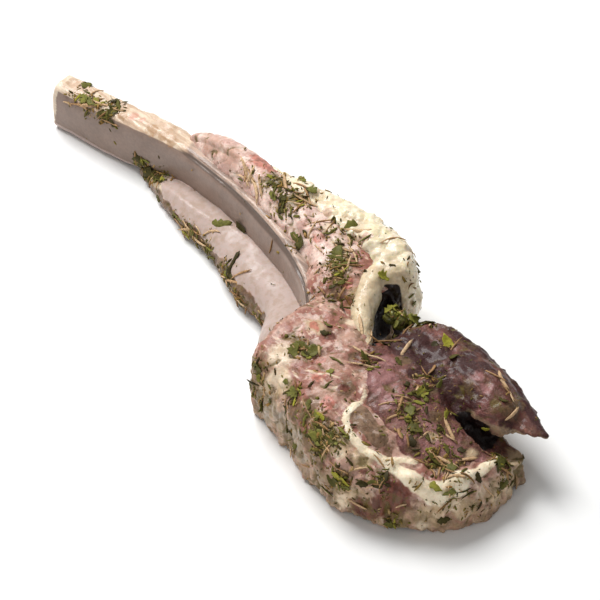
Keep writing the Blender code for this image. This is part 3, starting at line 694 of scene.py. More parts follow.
def meat_tissue(points, normals):
    """Which tissue each point belongs to, and where shade and highlights are painted: a dictionary
    of shares from 0 to 1.
    """
    x, y, z = points.T
    warped = drifted(drifted(points, 7.0, 1.2, 11), 2.4, 0.8, 14)
    nearby = drifted(points, 3.0, 0.7, 17)
    up = rise(normals[:, 2], 0.1, 0.6)
    head = rise(x, 21, 27)
    flap = rise(warped[:, 1], 7.5, 10.5) * rise(x, 60, 70)
    flap = np.maximum(flap, rise(warped[:, 1], 17, 18.5) * rise(x, 44, 48))
    eye = rise(inside(warped, EYE_OUTLINE), -0.5, 0.9) * rise(x, 36, 39)
    nodule = rise(ridge(nearby, NODULE, 3.0, 2.7), 0.3, 0.5)
    seam = np.max([ridge(nearby, path, start, end) for start, end, _, path in SEAMS], axis=0)
    strand = np.max([ridge(nearby, path, start, end) for start, end, _, path in STRANDS], axis=0)
    strip = ridge(points, LINING, 8.0, 8.0) * (1 - head) * rise(13 - y, 0, 1.5)
    near = rise(-normals[:, 1] + 0.4 * normals[:, 2], 0.0, 0.5)
    level = 5.0 + 2.4 * rise(x, -40, 0)
    margin = 1 - rise(z + 1.4 * rough(points, 2.5, 20) - level, -0.8, 0.6)
    hollow = ridge(points, POCKET[:3], 5.5, 5.0) * rise(21.0 - z, 0, 1.2)
    crevice = ridge(points, LIP_CREVICE, 2.2, 0.9)
    share = {name: spots(warped, rows) for name, rows in ZONES.items()}
    # Painted shade: the valley between the eye and the flap and the flange's side and downward faces
    # (under) are darkened with maroon; the flange's outer edge is darkened too.
    dark = 0.8 * ridge(nearby, FLANGE_EDGE, 2.2, 2.0), 0.8 * ridge(warped, EYE_VALLEY, 4.2, 3.6)
    under = rise(y, 14, 19) * rise(-normals[:, 2], -0.6, 0.0) * rise(x, 40, 46)
    lining = rise(strip * near, 0.25, 0.5) * (1 - margin)
    far = (1 - up) * rise(y, 14, 18) * (1 - eye)
    # The crease share is painted shade, in the marinade's colour: winding cracks and the valleys between
    # the wall's folds.
    cracks = 0.7 * creases(points, 6.0, 40) + 0.7 * creases(points, 3.4, 44) - 0.25
    gaps = rise(-wall_folds(points, normals), 0.12, 0.42)
    return {
        "eye": np.clip(eye * rise(z, 4, 8) + flap, 0, 1) * (1 - nodule),
        "light": rise(y, 5, 9) * (1 - rise(x + 3 * rough(points, 6, 21), 12, 26)),
        # Maroon is the eye's darkest muscle, with the painted shade under the flange and in the valley
        # added.
        "maroon": np.max([share["maroon"], 0.7 * under, *dark], axis=0),
        "purple": share["purple"],
        "fat": rise(seam, 0.22, 0.72),
        "strand": 1.05 * strand * rise(rough(points, 2.2, 22), -0.4, 0.3),
        # Pale is pale fat and also a painted highlight along the strip's upper edge.
        "pale": np.maximum(share["pale"], 1.2 * ridge(points, EDGE, 1.0, 1.2)),
        "lining": lining,
        "brown": np.max(
            [share["brown"], 1.3 * strip * near * margin, 0.47 * (1 - up) * head, 0.40 * far], axis=0
        ),
        "tan": np.max([share["tan"], 0.50 * (1 - up) * head, 0.52 * far], axis=0),
        "red": share["red"],
        "rose": share["rose"],
        "blood": share["blood"],
        # Grey is the wall's grey membrane, with a painted sheen of its shaded side; it lies only on faces
        # that do not look up.
        "grey": share["grey"] * (1 - up),
        "nodule": nodule,
        # Painted shade: near black in the slit under the flap, in the pocket by the fat and in the
        # crevice under the lip.
        "deep": np.maximum(np.maximum(slit_depth(points), rise(hollow, 0.35, 0.7)), crevice),
        # Painted shade in the creases, kept off the lining and the seams.
        "crease": np.maximum(cracks * (1 - lining), gaps) * (1 - rise(seam, 0.3, 0.6)),
        "rub": rub_depth(warped) * 0.6,
        "wall": np.maximum(far, (1 - up) * head * (1 - eye) * (1 - 0.5 * rise(x, 76, 84))),
        "flap": flap,
    }


def meat_relief(points, normals, tissue):
    """Heights in millimetres: the ragged cut, smooth lining, raised seams and sunken creases."""
    x, y, z = points.T
    up = rise(normals[:, 2], 0.0, 0.6)
    smooth = tissue["lining"] + 0.5 * tissue["fat"] + 0.2 * tissue["flap"] + 0.8 * tissue["light"]
    smooth = np.clip(smooth, 0, 1)
    ragged = 0.6 * rough(points, 9.0, 1) + 0.5 * rough(points, 4.0, 2) + 0.2 * rough(points, 1.7, 3, 2)
    torn = 0.8 * (billows(points, 5.0, 6) - 0.5) + 0.3 * (billows(points, 2.2, 8) - 0.5)
    height = (ragged + 0.55 * torn * (0.5 + 0.5 * up)) * (1 - 0.85 * smooth)
    height -= 0.45 * np.clip(tissue["crease"], 0, 1) * (1 - 0.5 * tissue["flap"])
    height += 0.3 * smooth * rough(points, 12.0, 4, 2)
    height += 1.8 * wall_folds(points, normals)
    wrinkles = rough(points * (0.3, 1.0, 1.0), 2.0, 48, 3)
    height += 0.7 * np.maximum(tissue["flap"], tissue["maroon"]) * wrinkles
    for start, end, tall, path in (*SEAMS, *STRANDS):
        crest = ridge(points, path, start, end)
        height += (0.4 + 0.6 * up) * tall * (1.5 * crest - ridge(points, path, start * 2.3, end * 2.3))
    fibres = rough(points * (0.35, 1.0, 1.0) + 0.6 * rough(points, 4, 9)[:, None], 1.1, 5, 2)
    height += 0.14 * fibres * (1 - 0.5 * smooth) * up
    moat = ridge(points, NODULE, 3.6, 3.2) - ridge(points, NODULE, 2.3, 2.1)
    height += up * (1.1 * ridge(points, NODULE, 3.0, 2.7) - 0.9 * moat)
    height -= 0.45 * up * tissue["eye"] * (1 - tissue["flap"])
    height -= 0.7 * up * ridge(points, EYE_VALLEY, 2.2, 1.6)
    height += up * spots(points, SWELLS)
    height -= 0.9 * up * spots(points, DIMPLES)
    height += 0.45 * ridge(points, EDGE, 1.1, 1.1)
    height -= 1.6 * spots(points, SLIT_END)
    height -= 1.0 * ridge(points, FLANGE_CREASE, 1.1, 1.1) + 1.4 * ridge(points, LIP_CREVICE, 1.6, 0.8)
    ledge = rise(-normals[:, 1], 0.1, 0.7) * rise(z, 13, 16) * rise(y, 4, 7)
    height -= 1.3 * ledge * (1 - rise(x, 8, 20))
    thin = ridge(points, FLANGE[2:], 4.0, 4.0)
    return height * (1 - 0.6 * thin)


def make_meat(voxel):
    """The meat's skin, moved out along its normals by its relief."""
    body = meat_shape(voxel)
    points, normals = skin_arrays(body)
    tissue = meat_tissue(points, normals)
    height = meat_relief(points, normals, tissue)
    set_points(body, points + normals * height[:, None])
    keep_tissue(body, **tissue)
    return body


# ---- The fat cap ---------------------------------------------------------------------------


def make_fat(voxel):
    """The cap over the back muscle, the lip that curls away from it and a clump of rub between
    them, all with soft lumps."""
    cap = mesh_thing("fat_cover", *tube(CAP, 3.6))
    combine(cap, [mesh_thing("lip", *tube(LIP, 2.4)), mesh_thing("clump", *tube(CLUMP, 2.0))], "UNION")
    level_floor(cap)
    even_skin(cap, voxel, 16)
    points, normals = skin_arrays(cap)
    x, y, z = points.T
    lip = ridge(points, LIP, 4.4, 3.6) * rise(x - y, 6, 12)
    clump = rise(ridge(points, CLUMP, 4.5, 4.5), 0.4, 0.55) * rise(x, 33, 33.6)
    lumps = 0.9 * (billows(points, 6.0, 21) - 0.5) + 0.4 * (billows(points, 2.4, 22) - 0.5)
    lumps += 0.8 * rough(points, 5.0, 23) + 0.2 * rough(points, 1.2, 26, 2)
    flute = np.sin(z * 0.8 + 2.5 * rough(points, 8, 27)) * 0.2
    height = lumps * (1 - 0.9 * lip) + 0.25 * lip * rough(points, 5, 28) + flute * lip
    height += 0.8 * ridge(points, CURL, 1.1, 1.1) - 0.5 * ridge(points, CURL, 2.4, 2.4)
    height += 1.6 * clump * (billows(points, 2.8, 29) - 0.5) + 0.8 * clump * rough(points, 4.0, 30)
    set_points(cap, points + normals * height[:, None])
    drift = rough(points, 4.0, 25)
    inner = rise(-normals[:, 1] + 0.6 * normals[:, 0], 0.3, 0.9) * rise(22.6 - z, 0, 2)
    keep_tissue(
        cap,
        flesh=spots(points, FAT_FLESH) + 0.45 * rise(drift, 0.15, 0.5),
        lip=lip,
        # Painted shade: the next share marks the dips between the lumps, and the one after it the fat's
        # side that faces the hollow beside the meat.
        hollow=1 - rise(lumps, -0.8, 0.3),
        deep=inner * rise(x, 24, 28) * (1 - rise(y, 17.5, 19.5)) * (1 - clump),
        rub=np.maximum(rub_depth(points + 1.2 * drift[:, None]) * 0.4, 0.9 * clump),
        clump=clump,
    )
    return cap


# ---- The rib -------------------------------------------------------------------------------


def make_rib():
    """The bare rib: a flat side that faces the strip, a rounded top band and a sawn end."""
    bone = mesh_thing("rib_face", *tube(RIB, 3.6, (0.35, 1.0), along=320, around=96))
    points, normals = skin_arrays(bone)
    x, y, z = points.T
    top = rise(normals[:, 2], 0.3, 0.75)
    near = rise(-normals[:, 1], 0.3, 0.8)
    end = 1 - rise(x, -89.8, -88.6)
    bare = 1 - rise(x + 4 * rough(points, 8, 37), -50, -40)
    grain = rough(points * (0.2, 1, 1), 1.3, 31, 3)
    height = 0.3 * rough(points, 11.0, 32) + 0.12 * rough(points, 3.2, 33)
    sawn = end * 0.6 * rough(points, 1.6, 35)
    height += top * bare * (0.45 * grain + 0.3 * rough(points, 2.2, 34)) + sawn
    middle = smooth_rows(RIB, np.linspace(0, 1, 160))
    across = y - np.interp(x, middle[:, 0], middle[:, 1])
    across /= np.interp(x, middle[:, 0], middle[:, 3])
    # The groove is sunk, and the finish paints it dark as shade.
    groove = np.exp(-(((across - GROOVE) / 0.16) ** 2)) * rise(x, -54, -38)
    groove *= rise(normals[:, 2], 0.0, 0.3)
    foot = near * (1 - rise(z - 0.3 * rough(points, 5, 38), 1.6, 2.6))
    foot *= 1 - rise(x, -56, -46)
    height += 0.35 * foot - 0.7 * groove
    set_points(bone, points + normals * height[:, None])
    drift = rough(points, 6.0, 36)
    keep_tissue(
        bone,
        band=top * bare,
        shelf=rise(across, GROOVE, -0.5) * rise(normals[:, 2], 0, 0.3) * (1 - bare),
        end=np.maximum(end, 0.7 * (1 - rise(x + 1.4 * drift, -88.4, -86.4))),
        foot=foot,
        groove=groove,
        stain=spots(points, RIB_STAINS),
        blood=spots(points, RIB_BLOOD),
        rub=rub_depth(points + 1.2 * drift[:, None]) * 0.5,
    )
    return bone


# ---- The rub -------------------------------------------------------------------------------


def sprig_shapes(kind, middles, alongs, ups, lengths, bends, sizes, draw):
    """Many sprigs at once, each a closed tube with a flat oval section. Along it t runs from 0 to
    1: its width is the kind's times sin(pi t)^0.6, or ^0.3 for a straw, each edge waves on its
    own, its middle bends as (2t - 1)^2, it twists evenly, and its section is cupped as the square
    of its width."""
    width, thick, cup, curl, rings, around = KINDS[kind]
    blunt, torn = (0.3, 0.08) if kind == "straw" else (0.6, 0.3)
    each = (len(middles), 1, 1)
    t = np.linspace(0, 1, rings + 2)[None, :, None]
    turn = np.linspace(0, 2 * math.pi, around, endpoint=False)[None, None, :]
    skew = t ** draw.uniform(0.7, 1.4, each)
    swell = np.sin(math.pi * skew.clip(0, 1)).clip(0, 1) ** blunt
    edges = []
    for _ in range(2):
        waves, start = draw.uniform(6, 26, each), draw.uniform(0, 6, each)
        edges.append(1 + torn * np.sin(t * waves + start))
    wave = np.where(np.cos(turn) > 0, *edges)
    u = 0.5 * width * sizes[:, None, None] * swell * wave * np.cos(turn)
    v = 0.5 * thick * swell * np.sin(turn) + cup * draw.uniform(-0.8, 1.8, each) * u**2
    twist = draw.normal(0, 0.5, each) * (t - 0.5) + draw.normal(0, 0.22, each)
    u, v = u * np.cos(twist) - v * np.sin(twist), u * np.sin(twist) + v * np.cos(twist)
    reach = (t - 0.5) * lengths[:, None, None]
    bow = (2 * t - 1) ** 2
    lift = bow * (bends[:, None, None] + curl * draw.uniform(-0.3, 0.9, each))
    sway = bow * draw.normal(0, 0.08, each) * lengths[:, None, None]
    sides = np.cross(ups, alongs)
    points = middles[:, None, None] + alongs[:, None, None] * reach[..., None]
    points = points + sides[:, None, None] * (u + sway)[..., None]
    return points + ups[:, None, None] * (v + lift)[..., None]


def sprig_mesh(name, points, shades):
    """One mesh of all the sprigs, with each one's shade as an attribute."""
    count, rings, around, _ = points.shape
    sides = points[:, 1:-1].reshape(count, -1, 3)
    one = np.concatenate([sides, points[:, :1, 0], points[:, -1:, 0]], 1)
    faces = tube_faces(rings - 2, around)
    step = one.shape[1]
    everything = [[corner + step * k for corner in face] for k in range(count) for face in faces]
    thing = mesh_thing(name, np.clip(one.reshape(-1, 3), BOX_LOW, BOX_HIGH), everything)
    keep_tissue(thing, shade=np.repeat(shades, step))
    return thing


def lie_down(places, headings, lengths, skins):
    """Where sprigs rest: for each, its middle on the nearest skin, its direction along it, the
    skin's normal there, and how much its ends must bend to stay on the skin."""
    rows = []
    for place, heading, length in zip(places, headings, lengths):
        found = [skin.find_nearest(Vector(place) * MM) for skin in skins]
        skin, (foot, up, _, _) = min(zip(skins, found), key=lambda pair: pair[1][3])
        way = Vector((math.cos(heading), math.sin(heading), 0))
        if abs(way.dot(up)) > STEEP:
            way = Vector((0, 0, 1))
        way = (way - up * way.dot(up)).normalized()
        ends = [skin.find_nearest(foot + way * length * 0.5 * MM * sign)[0] for sign in (-1, 1)]
        drop = sum((end - foot).dot(up) for end in ends) / 2
        rows.append((*(foot / MM + up * SPRIG_LIFT), *way, *up, max(drop / MM, -MOST_DROP * length)))
    rows = np.array(rows)
    return rows[:, :3], rows[:, 3:6], rows[:, 6:9], rows[:, 9]


def scatter_places(things, count, draw):
    """Random places on the things' faces, likelier where the rub sticks."""
    centres, normals, areas = [], [], []
    for thing in things:
        polygons = thing.data.polygons
        wanted = (centres, "center", 3), (normals, "normal", 3), (areas, "area", 1)
        for store, name, width in wanted:
            values = np.empty(len(polygons) * width, np.float32)
            polygons.foreach_get(name, values)
            store.append(values.reshape(-1, width))
    centres, normals = np.vstack(centres).astype(float) / MM, np.vstack(normals).astype(float)
    weight = np.vstack(areas)[:, 0].astype(float) * rub_weight(centres, normals)
    picked = draw.choice(len(centres), count, p=weight / weight.sum())
    return centres[picked] + draw.normal(0, 0.2, (count, 3)), normals[picked]


def rub_weight(points, normals):
    """How much of the rub sticks at each place: most in its patches, some on every cut face and on
    the fat's far side, little on the smooth linings, and none underneath or in the hollows."""
    x, y, z = points.T
    open_air = rise(z, 0.6, 2.0) * rise(normals[:, 2], -0.5, 0.0)
    open_air *= 1 - slit_depth(points)
    open_air *= 1 - rise(ridge(points, POCKET[:2], 4.0, 3.0), 0.3, 0.5)
    smooth = ridge(points, LINING, 6.0, 6.0) * rise(normals[:, 2] - normals[:, 1], 0.4, 0.9)
    rib = rise(-46 - x, 0, 4) + ridge(points, RIB, 7, 7) * (x < 18)
    flap = rise(y, 8, 11) * rise(x, 52, 58)
    back = rise(y, 5, 9) * (1 - rise(x, 12, 22)) * rise(normals[:, 2], 0.1, 0.5)
    far = (1 - rise(normals[:, 2], 0.1, 0.5)) * rise(y, 18, 22)
    clumps = rise(hills(points, 5.0, 41), 0.0, 0.6)
    base = 0.02 + 0.17 * clumps + 0.05 * rise(x, 24, 30)
    base = base * (1 - 0.97 * smooth) * (1 - 0.92 * np.clip(rib, 0, 1))
    base = base * (1 - 0.8 * flap) * (1 - 0.7 * back) * (1 + 1.2 * far)
    return open_air * (base + 1.6 * rub_depth(points) ** 1.4)


def make_sprigs(kind, loose, things, skins):
    """All sprigs of one kind: the named ones and some loose ones between them."""
    name, shortest, longest, seed = LOOSE[kind]
    draw = np.random.default_rng(seed)
    named = np.array(SPRIGS[kind], float)
    places = np.vstack([named[:, :3], scatter_places(things, loose, draw)[0]])
    turned = [math.radians(heading) for heading in named[:, 3]]
    headings = np.concatenate([turned, draw.uniform(0, math.pi, loose)])
    lengths = np.concatenate([named[:, 4], draw.uniform(shortest, longest, loose)])
    shades = np.concatenate([named[:, 5], draw.uniform(0, 1, loose)])
    sizes = np.concatenate([np.full(len(named), NAMED_WIDTH), draw.uniform(*LOOSE_WIDTHS, loose)])
    middles, alongs, ups, bends = lie_down(places, headings, lengths, skins)
    points = sprig_shapes(kind, middles, alongs, ups, lengths, bends, sizes, draw)
    return sprig_mesh(name, points, shades)


def make_crumbs(count, things):
    """Specks of dried herb and pepper: icosahedra with moved corners, flattened onto the skin."""
    draw = np.random.default_rng(CRUMB_SEED)
    form = bmesh.new()
    bmesh.ops.create_icosphere(form, subdivisions=1, radius=1)
    ball = np.array([corner.co for corner in form.verts])
    faces = np.array([[corner.index for corner in face.verts] for face in form.faces])
    form.free()
    places, ups = scatter_places(things, count, draw)
    ups = ups / np.linalg.norm(ups, axis=1)[:, None]
    ways = np.cross(ups, draw.normal(0, 1, (count, 3)))
    ways /= np.linalg.norm(ways, axis=1)[:, None]
    axes = np.stack([ways, np.cross(ups, ways), ups], 1)
    sizes = draw.lognormal(-1.75, 0.45, (count, 1)).clip(0.08, 0.5)
    shape = np.stack([draw.uniform(*limits, count) for limits in CRUMB_REACH], 1)
    corners = ball[None] * (sizes * shape)[:, None] * (1 + draw.normal(0, 0.2, (count, len(ball), 1)))
    points = places[:, None] + ups[:, None] * CRUMB_LIFT + np.einsum("nci,nij->ncj", corners, axes)
    joined = (faces[None] + len(ball) * np.arange(count)[:, None, None]).reshape(-1, 3)
    thing = mesh_thing("crumbs", np.clip(points.reshape(-1, 3), BOX_LOW, BOX_HIGH), joined.tolist())
    keep_tissue(thing, shade=np.repeat(draw.uniform(0, 1, count), len(ball)))
    return thing


# ---- Materials -----------------------------------------------------------------------------


class Look:
    """A Principled material and the nodes that colour it. Its methods give sockets. Where they
    take a share, a grain or a colour, that is a socket or a plain value."""

    def __init__(self, name, roughness, coat=0.0, subsurface=0.0, depth=(1.0, 0.4, 0.25)):
        """depth is how far red, green and blue light travel in it, in millimetres."""
        self.material = bpy.data.materials.new(name)
        self.material.use_nodes = True
        self.tree = self.material.node_tree
        self.shader = self.tree.nodes["Principled BSDF"]
        gloss = {"Roughness": roughness, "IOR": 1.42, "Specular IOR Level": 0.3}
        wet = {"Coat Weight": coat, "Coat Roughness": 0.16, "Coat IOR": 1.45}
        soft = {"Subsurface Weight": subsurface, "Subsurface Radius": depth, "Subsurface Scale": MM}
        self.feed(self.shader, {**gloss, **wet, **soft})

    def feed(self, node, inputs):
        """Sets each of these inputs of the node, or links it where the value is a socket."""
        for name, value in inputs.items():
            if isinstance(value, bpy.types.NodeSocket):
                self.tree.links.new(value, node.inputs[name])
            else:
                node.inputs[name].default_value = value

    def add(self, kind, inputs, **settings):
        """A new node with these settings and inputs."""
        node = self.tree.nodes.new(kind)
        for name, value in settings.items():
            setattr(node, name, value)
        self.feed(node, inputs)
        return node

    def place(self):
        """Object coordinates, which are the chop's own."""
        return self.add("ShaderNodeTexCoord", {}).outputs["Object"]

    def noise(self, size, detail=3.0, stretch=(1, 1, 1), seed=0.0):
        """A noise from 0 to 1 whose grain is about size millimetres, longer along an axis whose
        stretch is below 1. Each seed gives another one."""
        moved = {"Vector": self.place(), "Location": (seed, seed * 0.7, seed * 1.3), "Scale": stretch}
        place = self.add("ShaderNodeMapping", moved).outputs["Vector"]
        grain = {"Vector": place, "Scale": 1 / (size * MM), "Detail": detail, "Roughness": 0.6}
        return self.add("ShaderNodeTexNoise", grain).outputs["Fac"]

    def cells(self, size):
        """0 on the borders between cells about size millimetres wide, rising towards their
        middles. A wider noise first moves the place by up to 0.7 of a cell. Sockets 4 and 5 are
        the two vectors of the mix."""
        place = self.place()
        wander = self.add("ShaderNodeTexNoise", {"Vector": place, "Scale": 1 / (2.2 * size * MM)})
        moved = {"Factor": 0.7 * size * MM, 4: place, 5: wander.outputs["Color"]}
        place = self.add("ShaderNodeMix", moved, data_type="VECTOR").outputs[1]
        grain = {"Vector": place, "Scale": 1 / (size * MM)}
        grain = self.add("ShaderNodeTexVoronoi", grain, feature="DISTANCE_TO_EDGE")
        return grain.outputs["Distance"]

    def remap(self, value, low, high, start=0.0, end=1.0):
        """The value's range from low to high, smoothly mapped to the range from start to end."""
        span = {"Value": value, "From Min": low, "From Max": high, "To Min": start, "To Max": end}
        return self.add("ShaderNodeMapRange", span, interpolation_type="SMOOTHSTEP").outputs["Result"]

    def calculate(self, how, first, second):
        """The sum, the difference or the product of two numbers."""
        return self.add("ShaderNodeMath", {0: first, 1: second}, operation=how).outputs["Value"]

    def times(self, first, second):
        """The product of two numbers."""
        return self.calculate("MULTIPLY", first, second)

    def mix(self, share, under, over, blend="MIX"):
        """The over colour on the under one, by the share. Sockets 6 and 7 are the two colours."""
        colours = {6: under, 7: over}
        for number, colour in colours.items():
            if not isinstance(colour, bpy.types.NodeSocket):
                colours[number] = (*colour, 1)
        inputs = {"Factor": share, **colours}
        return self.add("ShaderNodeMix", inputs, data_type="RGBA", blend_type=blend).outputs["Result"]

    def veil(self, colour, *rows):
        """The colour under other ones. A row is a grain, its low and its high end, the share that
        the other colour has at each end, and that colour."""
        for grain, low, high, start, end, over in rows:
            colour = self.mix(self.remap(grain, low, high, start, end), colour, over)
        return colour

    def share(self, name, grain=None, ragged=0.5, low=0.35, high=0.65):
        """The tissue's attribute with its border made ragged by a grain from 0 to 1."""
        value = self.add("ShaderNodeAttribute", {}, attribute_name=name).outputs["Fac"]
        if grain:
            swing = self.times(self.calculate("SUBTRACT", grain, 0.5), ragged)
            value = self.calculate("ADD", value, swing)
        return self.remap(value, low, high)

    def patch(self, colour, grain, *rows):
        """The colour under patches of tissue. A row is the tissue, its colour, the most that it
        covers and its border as share takes it."""
        for name, over, most, *border in rows:
            share = self.times(self.share(name, grain, *border), most)
            colour = self.mix(share, colour, over)
        return colour

    def outside(self, name, rest=0.0):
        """1 outside the tissue and rest inside it."""
        return self.remap(self.share(name), 0, 1, 1, rest)

    def bump(self, height, distance, strength):
        """Relief finer than the mesh. distance is in millimetres."""
        relief = {"Height": height, "Distance": distance * MM, "Strength": strength}
        relief = self.add("ShaderNodeBump", relief)
        self.feed(self.shader, {"Normal": relief.outputs["Normal"]})


def meat_finish(tones):
    """Pink muscle, the dark eye, seams of fat, the pale lining and stains of the marinade, with painted
    shade in creases, hollows and the valley by the flap, and painted highlights on the flap, along
    the strip's edge and as a sheen on the wall's grey.
    """
    look = Look("moist_meat", 0.42, tones.gloss * 0.4, 0.12, (1.2, 0.45, 0.3))
    broad = look.noise(9.0, 3, seed=17.0)
    coarse = look.noise(4.0, 4)
    medium = look.noise(2.2, 3, seed=11.0)
    edge = look.noise(1.5, 4, seed=7.0)
    fine = look.noise(0.9, 4, seed=3.0)
    fibre = look.noise(1.3, 3, (0.3, 1, 1), 5.0)
    streaks = look.noise(1.4, 4, (1, 1, 0.2), 13.0)
    flesh = look.veil(
        tones.muscle,
        (broad, 0.44, 0.56, 0, 1, tones.muscle_light),
        (medium, 0.48, 0.62, 0, 0.6, tones.muscle),
        (coarse, 0.54, 0.64, 0, 0.75, tones.brown),
        (coarse, 0.36, 0.44, 0.6, 0, tones.rose),
        (fibre, 0.60, 0.68, 0, 0.7, tones.marbling),
    )
    light = look.veil(
        tones.blush,
        (coarse, 0.38, 0.60, 0, 1, tones.rose),
        (medium, 0.56, 0.66, 0, 0.5, tones.muscle),
    )
    flesh = look.patch(flesh, edge, ("light", light, 1))
    glossy = look.veil(tones.flap, (fibre, 0.42, 0.58, 0, 1, tones.eye_brown))
    # The purple spots on the flap are painted glints.
    glossy = look.patch(glossy, edge, ("purple", tones.purple, 1))
    dark = look.veil(
        tones.eye,
        (coarse, 0.42, 0.58, 0, 1, tones.eye_brown),
        (look.cells(1.7), 0.0, 0.08, 0.4, 0, tones.muscle),
    )
    dark = look.patch(dark, edge, ("purple", tones.purple, 1, 0.7, 0.3, 0.7), ("flap", glossy, 1, 0.4))
    dark = look.veil(dark, (fibre, 0.60, 0.68, 0, 0.45, tones.muscle))
    # Maroon paints the eye's darkest muscle and the painted shade in the valley and under the flange.
    dark = look.patch(dark, edge, ("maroon", tones.maroon, 1, 0.7, 0.25, 0.6))
    colour = look.patch(flesh, edge, ("eye", dark, 1))
    colour = look.mix(0.8, colour, look.remap(fine, 0.3, 0.7, 0.80, 1.14), "MULTIPLY")
    # Soft layers fade out further and have faint clouds, and the others have dark streaks.
    soft_layers = ("fat", "lining", "pale", "rose", "strand", "tan")
    clouds = look.remap(medium, 0.4, 0.64, 0.0, 0.8)
    worn = look.remap(streaks, 0.44, 0.58, 0.0, 0.85)
    layers = (
        ("brown", tones.brown, edge, 0.8, 0.85),
        # Grey carries the wall's membrane and its painted sheen.
        ("grey", tones.grey, edge, 0.5, 0.9),
        ("nodule", tones.nodule, edge, 0.3, 0.9),
        ("tan", tones.tan, medium, 0.7, 0.85),
        ("rose", tones.muscle_light, edge, 0.8, 0.8),
        ("red", tones.red, edge, 0.7, 0.85),
        ("blood", tones.blood, edge, 0.6, 0.92),
        # Pale also paints the highlight along the strip's upper edge.
        ("pale", tones.pale, edge, 0.6, 0.85),
        ("strand", tones.pale, medium, 1.0, 0.75),
        ("fat", tones.fat, edge, 1.0, 0.95),
        ("lining", tones.lining, edge, 0.2, 1.0),
    )
    for name, shade, border, ragged, most in layers:
        soft = name in soft_layers
        low, high, fade, spread = (0.25, 0.8, 0.85, clouds) if soft else (0.35, 0.65, 0.5, worn)
        darker = [value * fade * fall for value, fall in zip(shade, (1, 0.94, 0.84))]
        over = look.mix(spread, shade, darker)
        colour = look.patch(colour, border, (name, over, most, ragged, low, high))
    # Painted shade in the creases and between the wall's folds, in the marinade's colour.
    colour = look.patch(colour, fine, ("crease", tones.marinade, 0.8, 0.6, 0.2, 0.8))
    olive = look.veil(tones.marinade, (fine, 0.4, 0.6, 0, 1, tones.herb))
    stain = look.times(look.share("rub", medium, 1.6, 0.25, 0.95), look.outside("eye", 0.45))
    colour = look.mix(look.times(stain, 0.6), colour, olive)
    clean = look.outside("lining")
    spill = look.times(clean, look.outside("eye", 0.3))
    spill = look.times(look.remap(medium, 0.60, 0.70, 0, 0.35), spill)
    colour = look.mix(spill, colour, olive)
    crust = look.veil(tones.marinade, (edge, 0.42, 0.58, 0, 1, tones.brown))
    paste = look.times(look.remap(coarse, 0.47, 0.58, 0, 0.62), look.share("wall", edge, 0.4))
    colour = look.mix(paste, colour, crust)
    # Painted shade: near black in the slit, the pocket and the crevice under the lip.
    colour = look.patch(colour, edge, ("deep", tones.deep, 1, 0.2))
    dull = look.remap(medium, 0.3, 0.7, 0.34, 0.66)
    look.feed(look.shader, {"Base Color": colour, "Roughness": dull, "Coat Roughness": 0.15})
    height = look.calculate("ADD", fine, look.times(look.noise(0.4, 2, seed=9.0), 0.4))
    calm = look.times(look.outside("light", 0.45), look.remap(clean, 0, 1, 0.25, 1))
    look.bump(look.times(look.times(height, look.outside("eye", 1.7)), calm), 0.4, 0.6)
    return look.material


def fat_finish(tones):
    """Cream fat with a lip of smoother, paler fat, pink strands and stains of the marinade, with painted
    shade in its dips and on its side by the hollow.
    """
    look = Look("oily_fat", 0.36, tones.gloss * 0.8, 0.25, (1.6, 1.0, 0.6))
    coarse = look.noise(3.0, 4, seed=1.0)
    fine = look.noise(0.8, 4, seed=2.0)
    bright_herb = [value * 1.7 for value in tones.herb]
    green = look.veil(tones.herb, (fine, 0.4, 0.6, 0, 1, bright_herb))
    colour = look.veil(
        tones.fat,
        (coarse, 0.44, 0.64, 0, 1, tones.fat_yellow),
        (fine, 0.58, 0.70, 0, 0.5, tones.rose),
    )
    colour = look.patch(
        colour,
        fine,
        ("flesh", tones.muscle_light, 0.7),
        ("lip", tones.lip, 0.8, 0.2),
        # The dips between the lumps take tan as painted shade.
        ("hollow", tones.tan, 0.6, 0.6, 0.3, 0.9),
        ("rub", tones.marinade, 0.6, 1.3, 0.45, 1.1),
        ("clump", green, 1, 0.3),
    )
    colour = look.mix(0.45, colour, look.remap(fine, 0.25, 0.75, 0.6, 1.15), "MULTIPLY")
    # Painted shade: near black on the fat's side by the hollow.
    colour = look.patch(colour, fine, ("deep", tones.deep, 1, 0.2))
    look.feed(look.shader, {"Base Color": colour})
    look.bump(fine, 0.35, 0.7)
    return look.material


